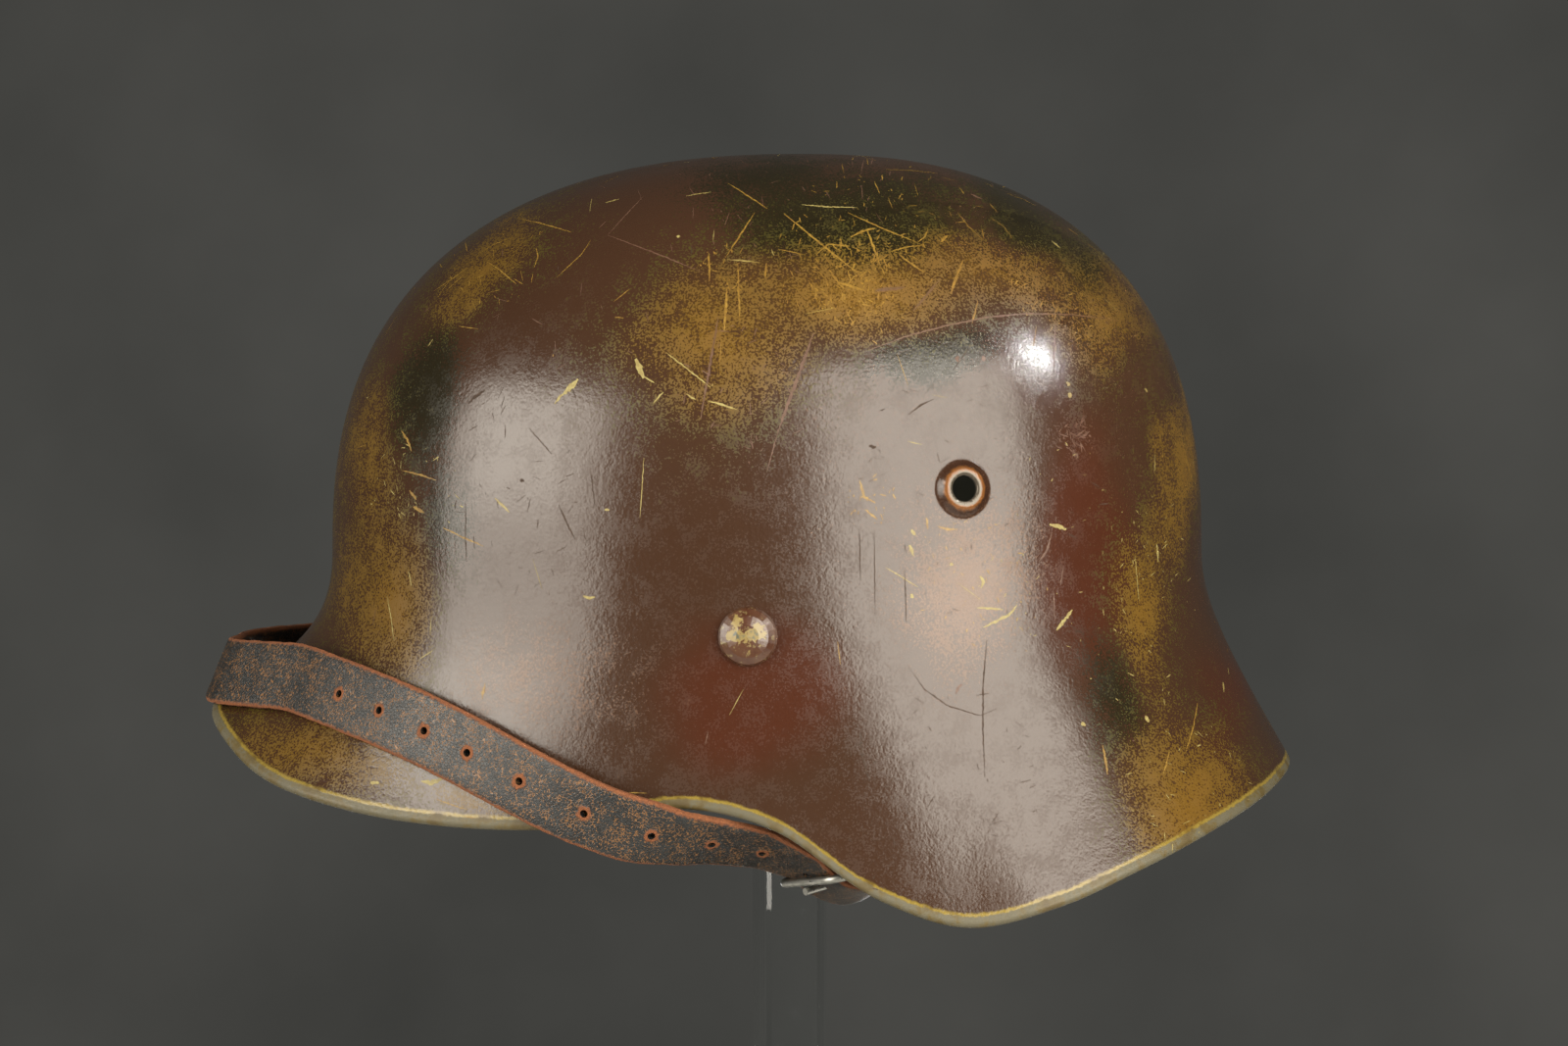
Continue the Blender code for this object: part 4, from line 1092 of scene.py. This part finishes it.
def short_strap_steps(rows=24):
    outer, inner, across, _ = buckle_bars()
    place, upward, along = bail_frame(1)
    along = along * np.sign(np.dot(across, along))
    away = unit(inner - outer)
    start = inner + away * SHORT_STRAP_LEAD
    end = place - upward * SHORT_STRAP_LEAD
    span = float(np.linalg.norm(end - start))
    points, crosses = [inner], [across]
    for index in range(rows + 1):
        share = index / rows
        blend = (3 - 2 * share) * share**2
        leave = share * (1 - share) ** 2
        arrive = (1 - share) * share**2
        points.append((1 - blend) * start + blend * end + (leave * away - arrive * upward) * span)
        crosses.append(across + (along - across) * blend)
    points.append(place)
    crosses.append(along)
    frames = []
    for index, (point, cross) in enumerate(zip(points, crosses)):
        ahead = points[min(index + 1, len(points) - 1)]
        behind = points[max(index - 1, 0)]
        forward = unit(ahead - behind)
        cross = unit(cross - forward * np.dot(cross, forward))
        frames.append((point, forward, cross, np.cross(forward, cross)))
    return frames


def build_short_strap(material):
    steps = short_strap_steps()
    wide = BAIL_WIRE / 2 + SEAT + STRAP_THICKNESS / 2
    slim = STRAP_THICKNESS / 2 + SEAT / 2

    def layer(side):
        found = []
        for index, (point, forward, cross, outward) in enumerate(steps):
            pinch = abs(2 * index / (len(steps) - 1) - 1) ** 2
            lift = (slim + (wide - slim) * pinch) * side
            found.append((point + outward * lift, forward, cross, outward * side))
        return found

    far_end = turned_round(steps[-1], range(HOOK_STEP, 180, HOOK_STEP))
    near_end = turned_round(steps[0], range(180 + HOOK_STEP, 360, HOOK_STEP))
    loop = layer(1) + far_end + layer(-1)[::-1] + near_end
    strap = leather_strap("short_strap_leather", loop, SHORT_STRAP_WIDTH, material, closed=True)
    cut_prong_room(strap)
    as_piece(strap, "strap_leather", "buckle_strap")


def cut_prong_room(strap):
    """Room in the short strap's loop for the prong's hook."""
    outer, inner, across, outward = buckle_bars()
    back = unit(outer - inner)
    wide = PRONG_WIRE / 2 + PRONG_ROOM
    deep = BUCKLE_WIRE / 2 + 2 * STRAP_THICKNESS
    shape = bmesh.new()
    for side in (-1, 1):
        for rise in (-1, 1):
            for way in (-1, 2):
                point = inner + across * side * wide + outward * rise * deep + back * way * deep
                shape.verts.new(Vector(point + SHIFT))
    bmesh.ops.convex_hull(shape, input=shape.verts)
    bmesh.ops.recalc_face_normals(shape, faces=shape.faces)
    apply_boolean(strap, from_shape("prong_room", shape))


class Nodes:
    """Short ways to add and join the nodes of one material."""

    def __init__(self, name):
        self.material = bpy.data.materials.new(name)
        self.material.use_nodes = True
        self.tree = self.material.node_tree
        self.shader = self.tree.nodes["Principled BSDF"]

    def put(self, socket, value):
        if isinstance(value, bpy.types.NodeSocket):
            self.tree.links.new(value, socket)
        elif isinstance(value, tuple) and socket.type == "RGBA":
            socket.default_value = (*value, 1.0)
        else:
            socket.default_value = value

    def add(self, kind, values=(), **settings):
        node = self.tree.nodes.new(kind)
        for key, value in settings.items():
            setattr(node, key, value)
        for key, value in dict(values).items():
            self.put(node.inputs[key], value)
        return node

    def place(self):
        return self.add("ShaderNodeTexCoord").outputs["Object"]

    def uv(self):
        return self.add("ShaderNodeUVMap", uv_map="flat").outputs[0]

    def number(self, name):
        return self.add("ShaderNodeAttribute", attribute_name=name).outputs["Fac"]

    def math(self, operation, *values):
        node = self.add("ShaderNodeMath", operation=operation)
        for socket, value in zip(node.inputs, values):
            self.put(socket, value)
        return node.outputs[0]

    def distance(self, where, point):
        values = {0: where, 1: tuple(point)}
        return self.add("ShaderNodeVectorMath", values, operation="DISTANCE").outputs["Value"]

    def mix(self, share, first, second):
        values = {0: share, 6: first, 7: second}
        return self.add("ShaderNodeMix", values, data_type="RGBA").outputs[2]

    def noise(self, where, size, detail=2.0, rough=0.5):
        values = {"Vector": where, "Scale": 1 / size, "Detail": detail, "Roughness": rough}
        return self.add("ShaderNodeTexNoise", values).outputs[0]

    def cell_edge(self, where, size):
        """How far a place lies from the edge of its cell, in cells of one size."""
        values = {"Vector": where, "Scale": 1 / size}
        node = self.add("ShaderNodeTexVoronoi", values, feature="DISTANCE_TO_EDGE")
        return node.outputs["Distance"]

    def ramp(self, value, low, high, out_low=0.0, out_high=1.0):
        values = {0: value, 1: low, 2: high, 3: out_low, 4: out_high}
        node = self.add("ShaderNodeMapRange", values, interpolation_type="SMOOTHSTEP")
        return node.outputs[0]

    def most(self, *values):
        return functools.reduce(lambda a, b: self.math("MAXIMUM", a, b), values)

    def least(self, *values):
        return functools.reduce(lambda a, b: self.math("MINIMUM", a, b), values)

    def times(self, *values):
        return functools.reduce(lambda a, b: self.math("MULTIPLY", a, b), values)

    def total(self, *values):
        return functools.reduce(lambda a, b: self.math("ADD", a, b), values)

    def sway(self, value, strength):
        """A noise value moved to swing about nought."""
        return self.times(self.math("SUBTRACT", value, 0.5), strength)

    def bump(self, height, strength, depth, normal=None):
        values = {"Height": height, "Strength": strength, "Distance": depth}
        node = self.add("ShaderNodeBump", values)
        if normal:
            self.put(node.inputs["Normal"], normal)
        return node.outputs[0]

    def finish(self, **values):
        for key, value in values.items():
            self.put(self.shader.inputs[key.replace("_", " ")], value)
        return self.material


def paint_outside():
    n = Nodes("camouflage_paint")
    where = n.place()
    speck = n.noise(where, 0.00055, 1.0, 0.6)
    cloud = n.noise(where, 0.006, 3.0, 0.65)
    grain = n.noise(where, 0.0011, 1.0)
    spray_edge = n.total(n.sway(speck, 3.6), n.sway(cloud, 1.6), -0.22)

    ochre_depth = n.number("ochre")
    ochre = n.ramp(n.total(ochre_depth, spray_edge), 0.00, 0.50)
    dark = n.ramp(n.total(n.number("dark"), n.times(spray_edge, 0.45)), -0.10, 0.40)
    # Painted sheen: the lighter tan patches lie where the softboxes' reflections fall
    tan = n.ramp(n.total(n.number("tan"), n.times(spray_edge, 0.6)), 0.05, 0.65)
    colour = n.mix(n.ramp(n.number("red"), 0.0, 0.6), BROWN, RED_BROWN)
    colour = n.mix(n.times(tan, 0.75), colour, SHEEN_TAN)
    colour = n.mix(dark, colour, OLIVE_BLACK)
    yellow = n.mix(n.ramp(ochre_depth, 0.05, 0.45), OLIVE, OCHRE)
    yellow = n.mix(n.ramp(n.total(ochre_depth, n.sway(cloud, 0.8)), 0.40, 1.10), yellow, ORANGE)
    colour = n.mix(n.times(ochre, 0.92), colour, yellow)

    rim = n.total(n.number("from_rim"), n.sway(cloud, 0.0012), n.sway(grain, 0.0008))
    worn_rim = n.ramp(rim, 0.0013, 0.0008)
    line = n.times(n.ramp(rim, 0.0022, 0.0015), n.ramp(cloud, 0.30, 0.50, 0.35, 1.0))
    colour = n.mix(line, colour, EDGE_YELLOW)
    metal = n.times(worn_rim, n.ramp(n.total(cloud, n.sway(grain, 0.3)), 0.38, 0.56))
    colour = n.mix(n.times(worn_rim, 0.8), colour, RIM_BROWN)
    colour = n.mix(metal, colour, BARE_STEEL)

    vent = n.total(n.number("from_vent"), n.sway(grain, 0.0009))
    # Painted shade, partly rust: darker brown over the vent boss's slope out to its foot
    colour = n.mix(n.ramp(vent, 0.0078, 0.0058), colour, VENT_FOOT_SHADE_AND_RUST)
    colour = n.mix(n.ramp(vent, 0.0057, 0.0051), colour, RUST)
    lip = n.ramp(vent, 0.0048, 0.0044)
    colour = n.mix(lip, colour, WORN_GREY)

    height = n.total(grain, n.times(speck, 0.35), n.times(cloud, 1.6))
    dull = n.ramp(n.total(speck, n.sway(cloud, 1.1)), 0.40, 0.70)
    rough = n.total(0.19, n.times(dull, 0.12), n.times(ochre, 0.06), n.times(worn_rim, 0.32))
    return n.finish(
        Base_Color=colour,
        Roughness=rough,
        Metallic=n.times(lip, 0.35),
        Normal=n.bump(height, 1.0, 0.000038),
    )


class Marks:
    """Scratches and chips, as thin slivers laid on the shell."""

    def __init__(self, body):
        shape = bmesh.new()
        shape.from_mesh(body.data)
        self.tree = BVHTree.FromBMesh(shape)
        shape.free()
        self.rng = random.Random(7)
        self.points = {}
        self.faces = {}

    def sliver(self, kind, way, width):
        """One ragged mark along points on the shell, each with its normal."""
        points = self.points.setdefault(kind, [])
        faces = self.faces.setdefault(kind, [])
        start = len(points)
        last = len(way) - 1
        for index, (place, normal) in enumerate(way):
            ahead = way[min(index + 1, last)][0] - way[max(index - 1, 0)][0]
            aside = normal.cross(ahead).normalized()
            swell = math.sin(math.pi * min(max(index / last, 0.04), 0.96)) ** 0.5
            for side in (1, -1):
                half = width / 2 * swell * self.rng.uniform(0.45, 1.25)
                points.append(place + aside * side * half + normal * LIFT)
        for index in range(last):
            here = start + 2 * index
            faces.append((here, here + 2, here + 3, here + 1))

    def from_picture(self, kind, stops, width):
        """A mark through picture points, with its width in pixels."""
        stops = [Vector(stops[index : index + 2]) for index in range(0, len(stops), 2)]
        length = sum((b - a).length for a, b in zip(stops, stops[1:]))
        count = max(4, int(length / MARK_STEP))
        way = []
        for index in range(count + 1):
            jitter = Vector((self.rng.uniform(-1, 1), self.rng.uniform(-1, 1))) * MARK_JITTER
            spot = self.along(stops, length * index / count) + jitter
            hit, normal, _, _ = self.tree.ray_cast(*picture_way(*spot))
            if hit:
                way.append((hit, normal))
        if len(way) > 2:
            self.sliver(kind, way, width / PIXELS_PER_METRE * CAMERA_DISTANCE * MARK_WIDTH)

    @staticmethod
    def along(stops, distance):
        for first, second in zip(stops, stops[1:]):
            length = (second - first).length
            if distance <= length:
                return first.lerp(second, distance / length)
            distance -= length
        return stops[-1]

    def crowd(self, x, y, reach, count, longest, widest, kind):
        for _ in range(count):
            far = reach * math.sqrt(self.rng.random())
            turn = self.rng.uniform(0, 2 * math.pi)
            lean = math.radians(self.rng.choice((20, -30, 65, -70, 100)) + self.rng.gauss(0, 16))
            length = longest * self.rng.uniform(0.1, 1.0) ** 1.6
            middle = Vector((x + far * math.cos(turn), y + far * math.sin(turn)))
            half = Vector((math.cos(lean), -math.sin(lean))) * max(length, 0.8) / 2
            width = widest * self.rng.uniform(0.4, 1.0)
            self.from_picture(kind, (*(middle - half), *(middle + half)), width)

    def scatter(self, count):
        """Small marks all over the shell, fewer on the side that the photograph shows."""
        middle = Vector(HEART)
        for _ in range(count):
            away = Vector([self.rng.gauss(0, 1) for _ in range(3)]).normalized()
            kind = self.rng.choice(("ochre", "ochre", "pink", "dark", "pale"))
            length = 0.009 * self.rng.random() ** 2 + 0.0006
            width = self.rng.uniform(0.00012, 0.00035)
            around = self.rng.uniform(-math.pi, math.pi)
            skipped = away.x > 0.25 and self.rng.random() < 0.7
            hit, normal, _, _ = self.tree.ray_cast(middle + away * 0.4, -away)
            if skipped or not hit or hit.z < 0.13:
                continue
            ahead = Matrix.Rotation(around, 3, normal) @ normal.orthogonal().normalized()
            way = []
            for step in range(6):
                near, near_normal, _, _ = self.tree.find_nearest(hit + ahead * length * step / 5)
                way.append((near, near_normal))
            self.sliver(kind, way, width)

    def finish(self, kind, material):
        mesh = bpy.data.meshes.new(f"paint_marks_{kind}")
        mesh.from_pydata([tuple(point) for point in self.points[kind]], [], self.faces[kind])
        as_piece(add_object(f"paint_marks_{kind}", mesh, material), "painted_steel")


def mark_material(kind, colour, second, rough):
    n = Nodes(f"{kind}_marks")
    speck = n.noise(n.place(), 0.0007, 1.0)
    return n.finish(Base_Color=n.mix(n.ramp(speck, 0.35, 0.65), colour, second), Roughness=rough)


def build_marks(body):
    marks = Marks(body)
    for crowd in CROWDS:
        marks.crowd(*crowd)
    marks.scatter(SCATTERED)
    tables = {"ochre": OCHRE_MARKS, "pale": PALE_MARKS, "pink": PINK_MARKS, "dark": DARK_MARKS}
    for kind, table in tables.items():
        for stops, width in table:
            marks.from_picture(kind, stops, width)
    for kind, (colour, second, rough) in MARK_COLOURS.items():
        marks.finish(kind, mark_material(kind, colour, second, rough))


def paint_inside():
    n = Nodes("inner_paint")
    where = n.place()
    cloud = n.noise(where, 0.02, 5.0, 0.65)
    colour = n.mix(n.ramp(cloud, 0.4, 0.65), (0.050, 0.052, 0.036), (0.030, 0.030, 0.022))
    rust = n.times(n.ramp(n.noise(where, 0.006, 5.0, 0.7), 0.60, 0.70), n.ramp(cloud, 0.45, 0.6))
    colour = n.mix(rust, colour, (0.13, 0.050, 0.018))
    colour = n.mix(n.ramp(n.noise(where, 0.0012, 2.0), 0.70, 0.74), colour, (0.22, 0.17, 0.09))
    return n.finish(
        Base_Color=colour,
        Roughness=n.ramp(cloud, 0.3, 0.7, 0.45, 0.65),
        Normal=n.bump(n.noise(where, 0.0011, 3.0), 0.3, 0.0001),
    )


def pin_paint():
    n = Nodes("chipped_pin_paint")
    where = n.place()
    reach = n.least(*(n.distance(where, pin_seat(which)[0]) for which in PIN_ANGLES))
    rag = n.sway(n.noise(where, 0.0035, 3.0, 0.6), 0.010)
    chip = n.ramp(n.total(reach, rag), 0.0048, 0.0042)
    heart = n.ramp(n.total(reach, n.times(rag, 0.5)), 0.0040, 0.0035)
    streak = n.ramp(n.noise(where, 0.0016, 3.0, 0.7), 0.60, 0.64)
    colour = n.mix(n.ramp(n.noise(where, 0.004, 3.0), 0.3, 0.7), RED_BROWN, PIN_BROWN)
    colour = n.mix(n.times(streak, 0.5), colour, PIN_STREAK)
    colour = n.mix(chip, colour, PIN_CHIP)
    colour = n.mix(heart, colour, PIN_HEART)
    return n.finish(
        Base_Color=colour,
        Roughness=n.ramp(chip, 0.0, 1.0, 0.26, 0.42),
        Normal=n.bump(n.math("SUBTRACT", n.noise(where, 0.0011, 2.0), chip), 0.35, 0.00012),
        Coat_Weight=0.3,
        Coat_Roughness=0.2,
    )


def leather():
    n = Nodes("cracked_leather")
    flat = n.uv()
    where = n.place()
    crack = n.ramp(n.cell_edge(where, 0.00075), 0.16, 0.03)
    wear = n.noise(where, 0.004, 3.0, 0.7)
    speck = n.noise(where, 0.0007, 2.0, 0.7)
    show = n.ramp(n.total(wear, n.sway(speck, 1.4)), 0.50, 0.60)
    black = n.mix(n.ramp(n.noise(where, 0.003, 3.0), 0.3, 0.7), *BLACK_LEATHER)
    brown = n.mix(n.ramp(speck, 0.3, 0.7), *BROWN_LEATHER)
    colour = n.mix(n.times(show, crack), black, brown)
    aside = n.math("ABSOLUTE", n.add("ShaderNodeSeparateXYZ", {0: flat}).outputs[1])
    edge = n.total(aside, n.sway(n.noise(where, 0.0012, 3.0, 0.7), 0.0016))
    raw = n.ramp(edge, STRAP_WIDTH / 2 - 0.0011, STRAP_WIDTH / 2 - 0.0003)
    length = way_length(strap_way(STRAP_LEFT))
    hole = n.least(*(n.distance(flat, (share * length, 0.0, 0.0)) for share in STRAP_HOLES))
    torn = n.total(hole, n.sway(n.noise(where, 0.0016, 3.0, 0.7), 0.0022))
    raw = n.most(raw, n.ramp(torn, 0.0021, 0.0015))
    colour = n.mix(raw, colour, n.mix(speck, *RAW_LEATHER))
    height = n.math("SUBTRACT", 1.0, n.total(n.times(crack, 0.8), n.times(raw, 0.3)))
    fibre = n.times(n.noise(where, 0.0004, 3.0, 0.7), raw)
    return n.finish(
        Base_Color=colour,
        Roughness=n.ramp(raw, 0.0, 1.0, 0.42, 0.85),
        Normal=n.bump(fibre, 0.8, 0.0003, n.bump(height, 0.45, 0.00018)),
    )


def wire_steel():
    n = Nodes("worn_wire_steel")
    where = n.place()
    cloud = n.noise(where, 0.003, 4.0, 0.6)
    colour = n.mix(n.ramp(cloud, 0.35, 0.7), (0.56, 0.56, 0.53), (0.30, 0.30, 0.27))
    return n.finish(
        Base_Color=colour,
        Metallic=1.0,
        Roughness=n.ramp(cloud, 0.3, 0.7, 0.26, 0.45),
        Normal=n.bump(n.noise(where, 0.0005, 3.0), 0.25, 0.00008),
    )


def band_metal():
    n = Nodes("dull_band_metal")
    where = n.place()
    cloud = n.noise(where, 0.009, 5.0, 0.65)
    colour = n.mix(n.ramp(cloud, 0.35, 0.7), (0.36, 0.36, 0.34), (0.17, 0.16, 0.14))
    return n.finish(
        Base_Color=colour,
        Metallic=0.9,
        Roughness=n.ramp(cloud, 0.3, 0.7, 0.40, 0.60),
        Normal=n.bump(n.noise(where, 0.0012, 3.0), 0.25, 0.0001),
    )


def clear_acrylic():
    n = Nodes("clear_acrylic")
    where = n.place()
    haze = n.ramp(n.noise(where, 0.004, 4.0, 0.7), 0.55, 0.75)
    return n.finish(
        Base_Color=(0.97, 0.985, 0.98),
        Roughness=n.math("ADD", 0.015, n.times(haze, 0.05)),
        IOR=1.49,
        Transmission_Weight=1.0,
    )


def floor_paint():
    n = Nodes("pale_floor")
    where = n.place()
    colour = n.mix(n.noise(where, 0.05, 3.0), (0.62, 0.61, 0.59), (0.66, 0.65, 0.63))
    return n.finish(Base_Color=colour, Roughness=0.75)


def build_floor(material):
    shape = bmesh.new()
    bmesh.ops.create_circle(shape, cap_ends=True, segments=128, radius=FLOOR_RADIUS)
    floor = from_shape("floor", shape, material)
    floor.location = (0, 0, -FLOOR_DROP)


def build_camera():
    data = bpy.data.cameras.new("camera")
    data.sensor_width = SENSOR
    data.lens = SENSOR * PIXELS_PER_METRE * CAMERA_DISTANCE / PICTURE_WIDTH
    data.clip_start = 0.01
    camera = bpy.data.objects.new("camera", data)
    bpy.context.collection.objects.link(camera)
    eye, _, _, back = camera_frame()
    camera.location = Vector(eye)
    camera.rotation_euler = Vector(-back).to_track_quat("-Z", "Y").to_euler()
    bpy.context.scene.camera = camera


def softbox(
    name, azimuth, rise, size, radiance, tint=(1, 1, 1), distance=1.25, spread=180, aim=HEART
):
    """An area light that faces the helmet, seen from it at an azimuth and a rise in degrees."""
    data = bpy.data.lights.new(name, "AREA")
    data.shape = "RECTANGLE"
    data.size, data.size_y = size
    data.energy = radiance * math.pi * size[0] * size[1]
    data.color = tint
    data.spread = math.radians(spread)
    light = bpy.data.objects.new(name, data)
    bpy.context.collection.objects.link(light)
    turn, up = math.radians(azimuth), math.radians(rise)
    way = Vector((math.sin(turn) * math.cos(up), -math.cos(turn) * math.cos(up), math.sin(up)))
    light.location = Vector(HEART) + way * distance
    towards = Vector(aim) - light.location
    light.rotation_euler = towards.to_track_quat("-Z", "Y").to_euler()
    light.visible_camera = False
    light.visible_transmission = False


def build_lights():
    warm = (1.0, 0.94, 0.83)
    softbox("left_softbox", 35, 9, (1.05, 0.95), 6.2, warm)
    softbox("left_softbox_middle", 35, 16, (0.60, 0.50), 3.2, warm, distance=1.2)
    softbox("right_softbox", 122, 12, (0.54, 0.58), 8.6, warm, distance=0.62)
    above = (0.04, 0.05, 0.30)
    softbox("small_light", 163, 33, (0.17, 0.09), 1.3, spread=9, aim=above)
    softbox("far_side_softbox", 270, -20, (1.0, 0.30), 4.0)


def build_world():
    world = bpy.data.worlds.new("studio")
    world.use_nodes = True
    bpy.context.scene.world = world
    tree = world.node_tree
    background = tree.nodes["Background"]
    place = tree.nodes.new("ShaderNodeTexCoord")
    cloud = tree.nodes.new("ShaderNodeTexNoise")
    cloud.inputs["Scale"].default_value = 7.0
    cloud.inputs["Detail"].default_value = 5.0
    mix = tree.nodes.new("ShaderNodeMix")
    mix.data_type = "RGBA"
    mix.inputs[6].default_value = (0.024, 0.025, 0.023, 1.0)
    mix.inputs[7].default_value = (0.092, 0.090, 0.082, 1.0)
    tree.links.new(place.outputs["Generated"], cloud.inputs["Vector"])
    tree.links.new(cloud.outputs[0], mix.inputs[0])
    tree.links.new(mix.outputs[2], background.inputs[0])


def dress_nodes(materials):
    for node, material in materials.items():
        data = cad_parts[node].data
        data.materials.clear()
        data.materials.append(material)


def main():
    bpy.context.scene.view_settings.view_transform = "Standard"
    build_camera()
    build_world()
    build_lights()
    build_floor(floor_paint())
    steel = wire_steel()
    hide = leather()
    acrylic = clear_acrylic()
    body = build_shell(paint_outside(), paint_inside())
    build_marks(body)
    pin = pin_paint()
    dress_nodes(
        {
            "split_pin_left": pin,
            "split_pin_right": pin,
            "liner_band": band_metal(),
            "stand_base": acrylic,
            "stand_post": acrylic,
            "stand_top": acrylic,
        }
    )
    for side, name in ((1, "left"), (-1, "right")):
        build_bail(side, name, steel)
    build_chin_strap(hide)
    build_buckle(steel)
    build_short_strap(hide)


main()
